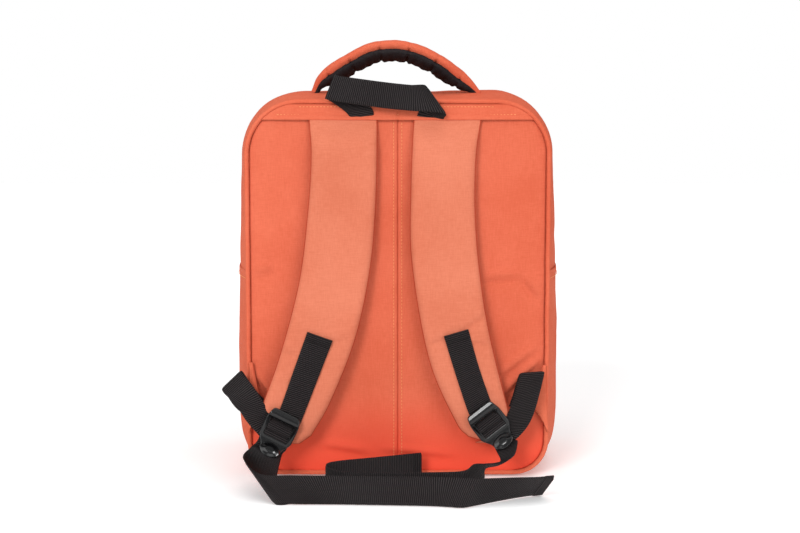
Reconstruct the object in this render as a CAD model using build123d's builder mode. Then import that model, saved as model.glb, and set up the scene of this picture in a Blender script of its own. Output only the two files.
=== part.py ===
from build123d import *
import os
from math import atan2, cos, degrees, radians, sin

# A soft rectangular first responder backpack, standing upright on its base.
# Millimetres. +Z is up, the harness side faces -Y and the opening side faces +Y.
# The origin is the centre of the base, on the surface that the pack stands on.

# Pack envelope, between its rear and front piping seams
PANEL_WIDTH = 336
PANEL_LOW = 5
PANEL_HIGH = 424
TOP_RADIUS = 48
BASE_RADIUS = 36
SEAM_Y = 95
GUSSET_BULGE = 13
GUSSET_THICKNESS = 4
PIPING_RADIUS = 2.6
PANEL_THICKNESS = 3

# Webbing
WEBBING_WIDTH = 30
WEBBING_THICKNESS = 1.6

# Side pockets
POCKET_LOW = 40
POCKET_HIGH = 240
POCKET_BULGE = 21
POCKET_WALL = 2

# Front lid and the pocket on it
RIM_THICKNESS = 2
LID_HALF_WIDTH = 152
LID_LOW = 36
LID_HIGH = 408
LID_RADIUS = 32
SEAM_GAP = 0.4
COIL_WIDTH = 2.8
COIL_HEIGHT = 2.4
FRONT_POCKET_HALF_WIDTH = 110
FRONT_POCKET_LOW = 80
FRONT_POCKET_HIGH = 280
FRONT_POCKET_DEPTH = 26
FLAP_HALF_WIDTH = 100
FLAP_LOW = 90
FLAP_HIGH = 268
FLAP_RADIUS = 22

# Shoulder straps, in a plane that leans away from the pack towards the foot
STRAP_TOP = 401
STRAP_ROOT_Y = -102.5
STRAP_LEAN = 2.2
PAD_CLOTH = 1.5
PAD_FOAM = 9

# Ladder locks
LOCK_THICKNESS = 5
LOCK_STAND_OFF = 2.4
LOCK_BAR_RADIUS = 2

# Carry handle
HANDLE_Y = -45
HANDLE_ROOT_Z = 437
HANDLE_WIDTH = 34

os.makedirs("parts", exist_ok=True)


def rounded_outline(inset):
    """The pack's outline seen from behind, drawn inside its piping seam."""
    with BuildSketch() as outline:
        with Locations((0, (PANEL_LOW + PANEL_HIGH) / 2)):
            Rectangle(PANEL_WIDTH - 2 * inset, PANEL_HIGH - PANEL_LOW - 2 * inset)
        rows = outline.vertices().group_by(Axis.Y)
        fillet(rows[-1], TOP_RADIUS - inset)
        fillet(outline.vertices().group_by(Axis.Y)[0], BASE_RADIUS - inset)
    return outline.sketch


def arch_outline(half_width, low, high, radius):
    """A rectangle with rounded upper corners, the shape of a zipped opening."""
    with BuildSketch() as arch:
        with Locations((0, (low + high) / 2)):
            Rectangle(2 * half_width, high - low)
        fillet(arch.vertices().group_by(Axis.Y)[-1], radius)
    return arch.sketch


def arch_band(half_width, low, high, radius, width):
    """The inverted U of one zipper half, drawn inwards from its outer edge."""
    inner = arch_outline(half_width - width, low - 10, high - width, radius - width)
    with BuildSketch() as band:
        add(arch_outline(half_width, low, high, radius))
        add(inner, mode=Mode.SUBTRACT)
    return band.sketch


def facing(y):
    """A sketch plane at this y that faces the harness side."""
    return Plane.XZ.offset(-y)


# ---------------------------------------------------------------- gusset
# One padded band, bulging between the two piping seams, runs round the pack.
half_width = PANEL_WIDTH / 2
with BuildPart() as gusset_ring:
    with BuildLine(Plane.XZ) as seam_path:
        top = Line((TOP_RADIUS - half_width, PANEL_HIGH), (half_width - TOP_RADIUS, PANEL_HIGH))
        upper_right = JernArc(start=top @ 1, tangent=top % 1, radius=TOP_RADIUS, arc_size=-90)
        right = Line(upper_right @ 1, (half_width, PANEL_LOW + BASE_RADIUS))
        lower_right = JernArc(start=right @ 1, tangent=right % 1, radius=BASE_RADIUS, arc_size=-90)
        bottom = Line(lower_right @ 1, (BASE_RADIUS - half_width, PANEL_LOW))
        lower_left = JernArc(start=bottom @ 1, tangent=bottom % 1, radius=BASE_RADIUS, arc_size=-90)
        left = Line(lower_left @ 1, (-half_width, PANEL_HIGH - TOP_RADIUS))
        upper_left = JernArc(start=left @ 1, tangent=left % 1, radius=TOP_RADIUS, arc_size=-90)
    with BuildSketch(Plane(origin=top @ 0, x_dir=(0, 1, 0), z_dir=(1, 0, 0))):
        with BuildLine():
            outer = ThreePointArc((-SEAM_Y, 0), (0, GUSSET_BULGE), (SEAM_Y, 0))
            inner = ThreePointArc(
                (-SEAM_Y, -GUSSET_THICKNESS),
                (0, GUSSET_BULGE - GUSSET_THICKNESS),
                (SEAM_Y, -GUSSET_THICKNESS),
            )
            Line(outer @ 0, inner @ 0)
            Line(outer @ 1, inner @ 1)
        make_face()
    sweep(path=seam_path.wire())

upper_cut = PANEL_HIGH - TOP_RADIUS
lower_cut = PANEL_LOW + BASE_RADIUS

with BuildPart() as top_gusset:
    add(gusset_ring.part)
    split(bisect_by=Plane.XY.offset(upper_cut), keep=Keep.TOP)
top_gusset.part.label = "top_gusset"
export_step(top_gusset.part, "parts/top_gusset.step")

for side, keep in (("left", Keep.BOTTOM), ("right", Keep.TOP)):
    with BuildPart() as side_gusset:
        add(gusset_ring.part)
        split(bisect_by=Plane.XY.offset(upper_cut), keep=Keep.BOTTOM)
        split(bisect_by=Plane.XY.offset(lower_cut), keep=Keep.TOP)
        split(bisect_by=Plane.YZ, keep=keep)
    side_gusset.part.label = f"{side}_gusset"
    export_step(side_gusset.part, f"parts/{side}_gusset.step")

# The base is pressed flat where the pack stands, between its rolled-up edges.
FLAT_HALF_LENGTH = half_width - BASE_RADIUS
FLAT_HALF_DEPTH = 76
FLAT_END_ROUND = 26
with BuildPart() as base_panel:
    add(gusset_ring.part)
    split(bisect_by=Plane.XY.offset(lower_cut), keep=Keep.BOTTOM)
    split(bisect_by=Plane.XY, keep=Keep.TOP)
    with BuildSketch(Plane.XY):
        with BuildLine():
            for end in (-1, 1):
                ThreePointArc(
                    (end * FLAT_HALF_LENGTH, -FLAT_HALF_DEPTH),
                    (end * (FLAT_HALF_LENGTH + FLAT_END_ROUND), 0),
                    (end * FLAT_HALF_LENGTH, FLAT_HALF_DEPTH),
                )
            for y in (-FLAT_HALF_DEPTH, FLAT_HALF_DEPTH):
                Line((-FLAT_HALF_LENGTH, y), (FLAT_HALF_LENGTH, y))
        make_face()
    extrude(amount=PANEL_THICKNESS)
base_panel.part.label = "base_panel"
export_step(base_panel.part, "parts/base_panel.step")

with BuildPart() as base_board:
    with BuildSketch(Plane.XY.offset(PANEL_THICKNESS)):
        RectangleRounded(270, 128, 10)
    extrude(amount=2.5)
base_board.part.label = "base_board"
export_step(base_board.part, "parts/base_board.step")

# ---------------------------------------------------------------- piping
for name, y in (("rear_piping", -SEAM_Y - 2.8), ("front_piping", SEAM_Y + 2.8)):
    seam = rounded_outline(0).faces()[0].outer_wire()
    cord_path = Plane.XZ.offset(-y) * seam
    with BuildPart() as piping:
        with BuildSketch(Plane(origin=cord_path @ 0, z_dir=cord_path % 0)):
            Circle(PIPING_RADIUS)
        sweep(path=cord_path)
    piping.part.label = name
    export_step(piping.part, f"parts/{name}.step")

# ---------------------------------------------------------------- back panel
# Two halves meet in the centre seam; foam, a stiff board and a lining are behind.
panel_face = rounded_outline(PIPING_RADIUS + 0.1)
YOKE_LOW = 404
for side, keep in (("left", Keep.BOTTOM), ("right", Keep.TOP)):
    with BuildPart() as back_half:
        with BuildSketch(facing(-SEAM_Y)):
            add(panel_face)
        extrude(amount=PANEL_THICKNESS)
        split(bisect_by=Plane.YZ, keep=keep)
    back_half.part.label = f"{side}_back_panel"
    export_step(back_half.part, f"parts/{side}_back_panel.step")

with BuildPart() as yoke:
    with BuildSketch(facing(-SEAM_Y - PANEL_THICKNESS)):
        add(panel_face)
    extrude(amount=2.4)
    split(bisect_by=Plane.XY.offset(YOKE_LOW), keep=Keep.TOP)
yoke.part.label = "yoke"
export_step(yoke.part, "parts/yoke.step")

back_layers = (
    ("back_foam", 8, -SEAM_Y + 8, 8),
    ("frame_board", 12, -SEAM_Y + 10, 2),
    ("back_lining", 6, -SEAM_Y + 11, 1),
)
for name, inset, inner_y, thickness in back_layers:
    with BuildPart() as layer:
        with BuildSketch(facing(inner_y)):
            add(rounded_outline(inset))
        extrude(amount=thickness)
    layer.part.label = name
    export_step(layer.part, f"parts/{name}.step")

# ---------------------------------------------------------------- side pockets
# Each pocket is a second layer, bellied out over its gusset between the seams.
for side, sign in (("left", -1), ("right", 1)):
    pocket_arcs = {}
    for name, bulge in (
        ("outer", POCKET_BULGE),
        ("inner", POCKET_BULGE - POCKET_WALL),
        ("gusset", GUSSET_BULGE + 0.1),
        ("hem", POCKET_BULGE + 1.4),
    ):
        tip = sign * half_width
        crown = sign * (half_width + bulge)
        pocket_arcs[name] = ThreePointArc((tip, -SEAM_Y), (crown, 0), (tip, SEAM_Y))

    with BuildPart() as pocket:
        with BuildSketch(Plane.XY.offset(POCKET_LOW)):
            with BuildLine():
                add(pocket_arcs["outer"])
                add(pocket_arcs["inner"])
            make_face()
        extrude(amount=POCKET_HIGH - POCKET_LOW)
        with BuildSketch(Plane.XY.offset(POCKET_LOW)):
            with BuildLine():
                add(pocket_arcs["inner"])
                add(pocket_arcs["gusset"])
            make_face()
        extrude(amount=POCKET_WALL)
    pocket.part.label = f"{side}_pocket"
    export_step(pocket.part, f"parts/{side}_pocket.step")

    with BuildPart() as hem:
        with BuildSketch(Plane.XY.offset(POCKET_HIGH - 9)):
            with BuildLine():
                add(pocket_arcs["hem"])
                add(pocket_arcs["outer"])
            make_face()
        extrude(amount=9)
    hem.part.label = f"{side}_pocket_hem"
    export_step(hem.part, f"parts/{side}_pocket_hem.step")

# ---------------------------------------------------------------- front
# A fixed rim carries the outer half of the zipper; the lid carries the other.
with BuildPart() as front_rim:
    with BuildSketch(facing(SEAM_Y)):
        add(panel_face)
        add(arch_outline(LID_HALF_WIDTH, LID_LOW, LID_HIGH, LID_RADIUS), mode=Mode.SUBTRACT)
    extrude(amount=-RIM_THICKNESS)
front_rim.part.label = "front_rim"
export_step(front_rim.part, "parts/front_rim.step")


def zipper_half(grow, half_width, low, high, radius, y):
    """One coil and tape edge, grown outwards or inwards from the opening's edge."""
    with BuildPart() as coil:
        with BuildSketch(facing(y)):
            add(arch_band(half_width + grow, low, high + grow, radius + grow, COIL_WIDTH))
        extrude(amount=-COIL_HEIGHT)
    return coil.part


rim_face_y = SEAM_Y + RIM_THICKNESS
lid_opening = (LID_HALF_WIDTH, LID_LOW + 2, LID_HIGH, LID_RADIUS)
outer_coil = zipper_half(COIL_WIDTH + 0.2, *lid_opening, rim_face_y)
outer_coil.label = "rim_zipper_coil"
export_step(outer_coil, "parts/rim_zipper_coil.step")

inner_coil = zipper_half(-SEAM_GAP, *lid_opening, rim_face_y)
inner_coil.label = "lid_zipper_coil"
export_step(inner_coil, "parts/lid_zipper_coil.step")

with BuildPart() as lid_panel:
    with BuildSketch(facing(SEAM_Y)):
        add(
            arch_outline(
                LID_HALF_WIDTH - SEAM_GAP,
                LID_LOW + SEAM_GAP,
                LID_HIGH - SEAM_GAP,
                LID_RADIUS - SEAM_GAP,
            )
        )
    extrude(amount=-RIM_THICKNESS)
lid_panel.part.label = "lid_panel"
export_step(lid_panel.part, "parts/lid_panel.step")

LID_FOAM_INSET = 6
with BuildPart() as lid_foam:
    with BuildSketch(facing(SEAM_Y)):
        add(
            arch_outline(
                LID_HALF_WIDTH - LID_FOAM_INSET,
                LID_LOW + LID_FOAM_INSET,
                LID_HIGH - LID_FOAM_INSET,
                LID_RADIUS - LID_FOAM_INSET,
            )
        )
    extrude(amount=5)
lid_foam.part.label = "lid_foam"
export_step(lid_foam.part, "parts/lid_foam.step")

# The front pocket is a walled box with its own zipped flap.
pocket_centre = (0, (FRONT_POCKET_LOW + FRONT_POCKET_HIGH) / 2)
pocket_height = FRONT_POCKET_HIGH - FRONT_POCKET_LOW
pocket_face_y = rim_face_y + FRONT_POCKET_DEPTH
with BuildPart() as front_pocket:
    with BuildSketch(facing(rim_face_y)):
        with Locations(pocket_centre):
            RectangleRounded(2 * FRONT_POCKET_HALF_WIDTH, pocket_height, 24)
            RectangleRounded(
                2 * (FRONT_POCKET_HALF_WIDTH - 2), pocket_height - 4, 22, mode=Mode.SUBTRACT
            )
    extrude(amount=-FRONT_POCKET_DEPTH)
    with BuildSketch(facing(pocket_face_y - RIM_THICKNESS)):
        with Locations(pocket_centre):
            RectangleRounded(2 * FRONT_POCKET_HALF_WIDTH, pocket_height, 24)
        add(
            arch_outline(FLAP_HALF_WIDTH, FLAP_LOW, FLAP_HIGH, FLAP_RADIUS),
            mode=Mode.SUBTRACT,
        )
    extrude(amount=-RIM_THICKNESS)
front_pocket.part.label = "front_pocket"
export_step(front_pocket.part, "parts/front_pocket.step")

flap_opening = (FLAP_HALF_WIDTH, FLAP_LOW + 2, FLAP_HIGH, FLAP_RADIUS)
pocket_coil = zipper_half(COIL_WIDTH + 0.2, *flap_opening, pocket_face_y)
pocket_coil.label = "pocket_zipper_coil"
export_step(pocket_coil, "parts/pocket_zipper_coil.step")

flap_coil = zipper_half(-SEAM_GAP, *flap_opening, pocket_face_y)
flap_coil.label = "flap_zipper_coil"
export_step(flap_coil, "parts/flap_zipper_coil.step")

with BuildPart() as flap_panel:
    with BuildSketch(facing(pocket_face_y - RIM_THICKNESS)):
        add(
            arch_outline(
                FLAP_HALF_WIDTH - SEAM_GAP,
                FLAP_LOW + SEAM_GAP,
                FLAP_HIGH - SEAM_GAP,
                FLAP_RADIUS - SEAM_GAP,
            )
        )
    extrude(amount=-RIM_THICKNESS)
flap_panel.part.label = "flap_panel"
export_step(flap_panel.part, "parts/flap_panel.step")

with BuildPart() as reflective_strip:
    with BuildSketch(facing(pocket_face_y)):
        with Locations((0, 175)):
            Rectangle(180, 25)
    extrude(amount=-0.8)
reflective_strip.part.label = "reflective_strip"
export_step(reflective_strip.part, "parts/reflective_strip.step")

# ---------------------------------------------------------------- zipper sliders
# A slider rides on the fixed coil; its puller hangs from a bridge on its face.
SLIDER_LENGTH = 12
SLIDER_WIDTH = 8
SLIDER_PLATE = 1.6
SLIDER_CLEARANCE = 0.3
BRIDGE_HEIGHT = 2.6
BRIDGE_RADIUS = 0.8
PULLER_EYE_RADIUS = 2.2
PULLER_LENGTH = 27
PULLER_WIDTH = 7.5
PULLER_DROP = 5.5
EYE_WIDTH = 3.6
PULLER_THICKNESS = 1.6
sliders = (
    ("main", LID_HALF_WIDTH, rim_face_y, 50),
    ("pocket", FLAP_HALF_WIDTH, pocket_face_y, 104),
)
for name, opening_x, coil_y, foot_z in sliders:
    plate_y = coil_y + COIL_HEIGHT + SLIDER_CLEARANCE
    plate_top_y = plate_y + SLIDER_PLATE
    bridge_y = plate_top_y + BRIDGE_HEIGHT
    bridge_z = foot_z + 7.5
    left_x = opening_x + SEAM_GAP
    middle_x = left_x + SLIDER_WIDTH / 2
    post_half_gap = 3
    with BuildPart() as slider:
        with BuildSketch(facing(plate_y)):
            with Locations((middle_x, foot_z + SLIDER_LENGTH / 2)):
                RectangleRounded(SLIDER_WIDTH, SLIDER_LENGTH, 1.5)
        extrude(amount=-SLIDER_PLATE)
        with BuildSketch(facing(coil_y + SLIDER_CLEARANCE)):
            with Locations((middle_x + 0.2, foot_z + SLIDER_LENGTH / 2)):
                Rectangle(1.6, SLIDER_LENGTH - 4)
        extrude(amount=-(COIL_HEIGHT + 0.4))
        for post_x in (middle_x - post_half_gap, middle_x + post_half_gap):
            with BuildSketch(facing(plate_top_y)):
                with Locations((post_x, bridge_z)):
                    Rectangle(1, 2.4)
            extrude(amount=-(BRIDGE_HEIGHT + BRIDGE_RADIUS))
        bridge_start = (middle_x - post_half_gap, bridge_y, bridge_z)
        with BuildSketch(Plane(origin=bridge_start, z_dir=(1, 0, 0))):
            Circle(BRIDGE_RADIUS)
        extrude(amount=2 * post_half_gap)
    slider.part.label = f"{name}_slider"
    export_step(slider.part, f"parts/{name}_slider.step")

    with BuildPart() as puller:
        eye_start = (middle_x - EYE_WIDTH / 2, bridge_y, bridge_z)
        with BuildSketch(Plane(origin=eye_start, x_dir=(0, 1, 0), z_dir=(1, 0, 0))):
            Circle(PULLER_EYE_RADIUS)
            with Locations((0.6, -PULLER_EYE_RADIUS - 2)):
                Rectangle(1.6, 6)
            Circle(BRIDGE_RADIUS + 0.35, mode=Mode.SUBTRACT)
        extrude(amount=EYE_WIDTH)
        with BuildSketch(facing(bridge_y - 0.2)):
            with Locations((middle_x, bridge_z - PULLER_DROP - PULLER_LENGTH / 2)):
                RectangleRounded(PULLER_WIDTH, PULLER_LENGTH, 2.5)
        extrude(amount=-PULLER_THICKNESS)
    puller.part.label = f"{name}_puller"
    export_step(puller.part, f"parts/{name}_puller.step")

# ---------------------------------------------------------------- shoulder straps
# Seen from behind: the outer and inner edges run down to a rounded foot.
STRAP_EDGES = {
    "left": {
        "outer": ((-98, STRAP_TOP), (-95, 365), (-99, 302), (-109, 225), (-130, 145), (-153, 80)),
        "foot": (-143, 53),
        "inner": ((-118, 42), (-97, 53), (-75, 92), (-47, 164), (-30, 247), (-24, 332), (-23, STRAP_TOP)),
    },
    "right": {
        "outer": ((92, STRAP_TOP), (86, 365), (85, 305), (90, 239), (101, 169), (123, 79)),
        "foot": (117, 53),
        "inner": ((95, 43), (79, 52), (65, 69), (35, 139), (16, 247), (15, 332), (18, STRAP_TOP)),
    },
}
LOCKS = {"left": ((-133.3, 55), 26.6), "right": ((105, 63), -38)}
STRAP_WEBBING_TOPS = {"left": (-86.5, 163), "right": (65, 168)}
LOCK_TOP = 24.5
LOCK_BAR_HEIGHT = 4.5
LOCK_TAB_DROP = 19
LOCK_WINDOW_CENTRE = 3
LOCK_OUTLINE = (
    (-16, LOCK_TOP), (-19, 14), (-19, -7), (-12, -17), (12, -17), (19, -7), (19, 14), (16, LOCK_TOP)
)

lean = radians(STRAP_LEAN)
strap_plane = Plane(
    origin=(0, STRAP_ROOT_Y, YOKE_LOW), x_dir=(1, 0, 0), z_dir=(0, -cos(lean), sin(lean))
)


def on_strap(x, z):
    """The strap plane's coordinates of a place given by its x and height."""
    return (x, (z - YOKE_LOW) / cos(lean))


for side, edges in STRAP_EDGES.items():
    with BuildSketch() as pad_outline:
        with BuildLine():
            outer = Spline(*[on_strap(x, z) for x, z in edges["outer"]])
            inner = Spline(*[on_strap(x, z) for x, z in edges["inner"]])
            ThreePointArc(outer @ 1, on_strap(*edges["foot"]), inner @ 0)
            Line(inner @ 1, outer @ 0)
        make_face()
    pad_layers = (
        ("strap_backing", 0, PAD_CLOTH),
        ("strap_foam", PAD_CLOTH, PAD_FOAM),
        ("strap_facing", PAD_CLOTH + PAD_FOAM, PAD_CLOTH),
    )
    for name, start, thickness in pad_layers:
        with BuildPart() as pad_layer:
            with BuildSketch(strap_plane.offset(start)):
                add(pad_outline.sketch)
            extrude(amount=thickness)
        pad_layer.part.label = f"{side}_{name}"
        export_step(pad_layer.part, f"parts/{side}_{name}.step")

    pad_face = strap_plane.offset(PAD_FOAM + 2 * PAD_CLOTH)
    (lock_x, lock_z), lock_turn = LOCKS[side]
    lock_top = Vector(*on_strap(lock_x, lock_z)) + Vector(0, LOCK_TOP + 2).rotate(
        Axis.Z, -lock_turn
    )
    webbing_top = Vector(*on_strap(*STRAP_WEBBING_TOPS[side]))
    run = webbing_top - lock_top
    with BuildPart() as strap_webbing:
        with BuildSketch(pad_face):
            with Locations((lock_top + webbing_top) * 0.5):
                Rectangle(WEBBING_WIDTH, run.length, rotation=-degrees(atan2(run.X, run.Y)))
        extrude(amount=WEBBING_THICKNESS)
    strap_webbing.part.label = f"{side}_strap_webbing"
    export_step(strap_webbing.part, f"parts/{side}_strap_webbing.step")

    # Ladder lock: a plate with one window, a centre bar in it and a thumb tab.
    lock_origin = pad_face.from_local_coords(Vector(*on_strap(lock_x, lock_z), LOCK_STAND_OFF))
    turn = radians(lock_turn)
    lock_across = strap_plane.x_dir * cos(turn) - strap_plane.y_dir * sin(turn)
    lock_plane = Plane(origin=lock_origin, x_dir=lock_across, z_dir=strap_plane.z_dir)
    bar_start = lock_plane.from_local_coords((-16, LOCK_BAR_HEIGHT, LOCK_THICKNESS / 2))
    wrap_start = lock_plane.from_local_coords((-14, 0, 0))
    with BuildPart() as ladder_lock:
        with BuildSketch(lock_plane) as lock_face:
            Polygon(*LOCK_OUTLINE, align=None)
            fillet(lock_face.vertices(), 3)
            with Locations((0, -LOCK_TAB_DROP)):
                Ellipse(11.5, 5.5)
            with Locations((0, LOCK_WINDOW_CENTRE)):
                RectangleRounded(30.6, 21, 1.5, mode=Mode.SUBTRACT)
        extrude(amount=LOCK_THICKNESS)
        with BuildSketch(Plane(origin=bar_start, z_dir=lock_plane.x_dir)):
            Circle(LOCK_BAR_RADIUS)
        extrude(amount=32)
        with BuildSketch(lock_plane.offset(LOCK_THICKNESS)):
            with Locations((0, -LOCK_TAB_DROP)):
                Ellipse(10, 4.2)
        extrude(amount=2.2, taper=20)
    ladder_lock.part.label = f"{side}_ladder_lock"
    export_step(ladder_lock.part, f"parts/{side}_ladder_lock.step")

    # The adjusting webbing rolls over the centre bar and over the lower edge.
    with BuildPart() as webbing_wrap:
        with BuildSketch(Plane(origin=wrap_start, x_dir=lock_plane.y_dir, z_dir=lock_plane.x_dir)):
            with BuildLine():
                Line((9, 0.2), (7.6, 2.5))
                ThreePointArc((7.6, 2.5), (4.5, 5.6), (1.4, 2.5))
                ThreePointArc((1.4, 2.5), (0.6, 1.8), (-0.2, 2.5))
                ThreePointArc((-0.2, 2.5), (-3.3, 5.6), (-6.4, 2.5))
            trace(line_width=1.4)
        extrude(amount=28)
    webbing_wrap.part.label = f"{side}_webbing_wrap"
    export_step(webbing_wrap.part, f"parts/{side}_webbing_wrap.step")

# ---------------------------------------------------------------- load webbing
# A cloth wing in each side seam holds webbing that folds over and runs forward.
WING_CORNERS = {
    "left": ((-167.6, 134), (-170, 51), (-149, 83)),
    "right": ((167.6, 131), (171, 51), (147, 83)),
}
FOLD_RADIUS = 6
LOAD_FOLDS = {"left": ((-185, 112), 48, 22), "right": ((151, 119), -14, 34)}
BACK_LEG = 38
for side, corners in WING_CORNERS.items():
    with BuildPart() as wing:
        with BuildSketch(facing(-101.2)):
            Polygon(*corners, align=None)
        extrude(amount=3.4)
    wing.part.label = f"{side}_wing"
    export_step(wing.part, f"parts/{side}_wing.step")

    (fold_x, fold_z), fold_lean, front_leg = LOAD_FOLDS[side]
    turn = radians(fold_lean)
    across = Vector(cos(turn), 0, sin(turn))
    fold_start = Vector(fold_x, -112, fold_z) - across * (WEBBING_WIDTH / 2)
    with BuildPart() as load_webbing:
        with BuildSketch(Plane(origin=fold_start, x_dir=(0, 1, 0), z_dir=across)):
            with BuildLine():
                Line((FOLD_RADIUS, -BACK_LEG), (FOLD_RADIUS, -FOLD_RADIUS))
                ThreePointArc((FOLD_RADIUS, -FOLD_RADIUS), (0, 0), (-FOLD_RADIUS, -FOLD_RADIUS))
                Line((-FOLD_RADIUS, -FOLD_RADIUS), (-FOLD_RADIUS, -front_leg))
            trace(line_width=WEBBING_THICKNESS)
        extrude(amount=WEBBING_WIDTH)
    load_webbing.part.label = f"{side}_load_webbing"
    export_step(load_webbing.part, f"parts/{side}_load_webbing.step")

# ---------------------------------------------------------------- loose tails
# Each tail drops from its ladder lock to the floor, then lies there on edge.
TAILS = {
    "left": {
        "drop_x": -159,
        "drop": ((-132, 21), (-146, 12), (-172, 1.4), (-200, 1.4)),
        "floor": ((-146, -195), (-136, -212), (70, -214), (104, -208), (166, -180)),
        "bends": (9, 60, 60),
    },
    "right": {
        "drop_x": 105,
        "drop": ((-134, 30), (-150, 18), (-168, 1.4), (-180, 1.4)),
        "floor": ((120, -174), (98, -190), (-72, -199), (-79, -165), (26, -128)),
        "bends": (20, 12, 9),
    },
}
for side, tail in TAILS.items():
    with BuildPart() as loose_tail:
        with BuildSketch(Plane.YZ.offset(tail["drop_x"])):
            with BuildLine():
                FilletPolyline(*tail["drop"], radius=12)
            trace(line_width=WEBBING_THICKNESS)
        extrude(amount=WEBBING_WIDTH)
        with BuildSketch(Plane.XY.offset(0.6)):
            with BuildLine():
                FilletPolyline(*tail["floor"], radius=tail["bends"])
            trace(line_width=WEBBING_THICKNESS)
        extrude(amount=WEBBING_WIDTH)
    loose_tail.part.label = f"{side}_tail"
    export_step(loose_tail.part, f"parts/{side}_tail.step")

# ---------------------------------------------------------------- carry handle
# Three layers bent in one arch, gathered to a narrow root at the top seam.
HANDLE_RADIUS = 104
HANDLE_CENTRE = (-1, 380)
handle_layers = (
    ("handle_cover", HANDLE_RADIUS + 2.5, HANDLE_RADIUS + 6.5),
    ("handle_core", HANDLE_RADIUS - 3.5, HANDLE_RADIUS + 2.5),
    ("handle_binding", HANDLE_RADIUS - 6.5, HANDLE_RADIUS - 3.5),
)
for name, inner_radius, outer_radius in handle_layers:
    with BuildPart() as handle_layer:
        with BuildSketch(facing(HANDLE_Y + HANDLE_WIDTH / 2)):
            with Locations(HANDLE_CENTRE):
                Circle(outer_radius)
                Circle(inner_radius, mode=Mode.SUBTRACT)
        extrude(amount=HANDLE_WIDTH)
        split(bisect_by=Plane.XY.offset(HANDLE_ROOT_Z + 0.5), keep=Keep.TOP)
        with BuildSketch(Plane(origin=(-120, HANDLE_Y, HANDLE_ROOT_Z), x_dir=(0, 1, 0), z_dir=(1, 0, 0))):
            Polygon((-1, 0), (1, 0), (17, 28), (17, 70), (-17, 70), (-17, 28), align=None)
        extrude(amount=240, mode=Mode.INTERSECT)
    handle_layer.part.label = name
    export_step(handle_layer.part, f"parts/{name}.step")

# ---------------------------------------------------------------- hang loop
# A webbing loop stands off the yoke between the straps, lower on its right.
LOOP_SLOPE = radians(6.5)
loop_plane = Plane(
    origin=(-17, 0, 417),
    x_dir=(cos(LOOP_SLOPE), 0, -sin(LOOP_SLOPE)),
    z_dir=(sin(LOOP_SLOPE), 0, cos(LOOP_SLOPE)),
)
LOOP_BACK_Y = -103.6
LOOP_FRONT_Y = -113
with BuildPart() as hang_loop:
    with BuildSketch(loop_plane):
        with BuildLine():
            FilletPolyline(
                (-28, LOOP_BACK_Y), (-64, LOOP_BACK_Y), (-64, LOOP_FRONT_Y),
                (64, LOOP_FRONT_Y), (64, LOOP_BACK_Y), (40, LOOP_BACK_Y),
                radius=4.4,
            )
        trace(line_width=WEBBING_THICKNESS)
    extrude(amount=28)
    for foot_x in (-44, 36):
        with BuildSketch(facing(LOOP_BACK_Y + WEBBING_THICKNESS / 2)):
            with Locations((foot_x, 413.5)):
                Rectangle(28, 16)
        extrude(amount=WEBBING_THICKNESS)
hang_loop.part.label = "hang_loop"
export_step(hang_loop.part, "parts/hang_loop.step")
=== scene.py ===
import math

import bmesh
import bpy
import numpy as np
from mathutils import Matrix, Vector, noise


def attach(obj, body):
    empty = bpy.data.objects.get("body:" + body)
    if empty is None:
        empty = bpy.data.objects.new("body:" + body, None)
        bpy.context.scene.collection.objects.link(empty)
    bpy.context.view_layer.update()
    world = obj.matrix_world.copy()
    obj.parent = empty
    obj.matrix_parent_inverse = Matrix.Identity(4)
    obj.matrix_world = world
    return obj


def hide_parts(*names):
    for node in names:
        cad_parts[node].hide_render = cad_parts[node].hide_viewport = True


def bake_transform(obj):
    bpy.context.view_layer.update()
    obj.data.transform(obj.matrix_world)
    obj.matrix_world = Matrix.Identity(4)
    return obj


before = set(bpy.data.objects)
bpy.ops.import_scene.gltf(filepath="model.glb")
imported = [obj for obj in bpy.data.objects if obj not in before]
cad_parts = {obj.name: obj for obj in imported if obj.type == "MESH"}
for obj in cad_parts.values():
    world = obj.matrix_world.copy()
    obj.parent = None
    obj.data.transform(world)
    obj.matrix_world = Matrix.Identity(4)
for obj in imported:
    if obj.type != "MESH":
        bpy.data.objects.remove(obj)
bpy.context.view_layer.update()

# ------------------------------------------------------------------ studio
# The pack stands on a white sweep under three broad, soft sun lamps and an even
# white surround. The camera looks slightly down at its harness side, from just
# under the height of its top.
camera_data = bpy.data.cameras.new("camera")
camera_data.lens = 64.8
camera_data.sensor_width = 36.0
camera = bpy.data.objects.new("camera", camera_data)
camera.location = (0.0025, -1.700, 0.420)
camera.rotation_euler = (math.radians(90 - 6.4), 0, 0)
bpy.context.collection.objects.link(camera)
bpy.context.scene.camera = camera
bpy.context.scene.view_settings.view_transform = "Standard"

sweep_size = 6.0
floor_mesh = bpy.data.meshes.new("studio_floor")
floor_mesh.from_pydata(
    [(x * sweep_size, y * sweep_size, 0) for x, y in ((-1, -1), (1, -1), (1, 1), (-1, 1))],
    [],
    [(0, 1, 2, 3)],
)
studio_floor = bpy.data.objects.new("studio_floor", floor_mesh)
bpy.context.collection.objects.link(studio_floor)
floor_paint = bpy.data.materials.new("studio_white")
floor_paint.use_nodes = True
floor_shader = floor_paint.node_tree.nodes["Principled BSDF"]
floor_shader.inputs["Base Color"].default_value = (0.93, 0.93, 0.93, 1)
floor_shader.inputs["Roughness"].default_value = 0.8
floor_shader.inputs["Specular IOR Level"].default_value = 0.1
floor_shader.inputs["Emission Color"].default_value = (1, 1, 1, 1)
floor_shader.inputs["Emission Strength"].default_value = 0.17
floor_mesh.materials.append(floor_paint)

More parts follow.
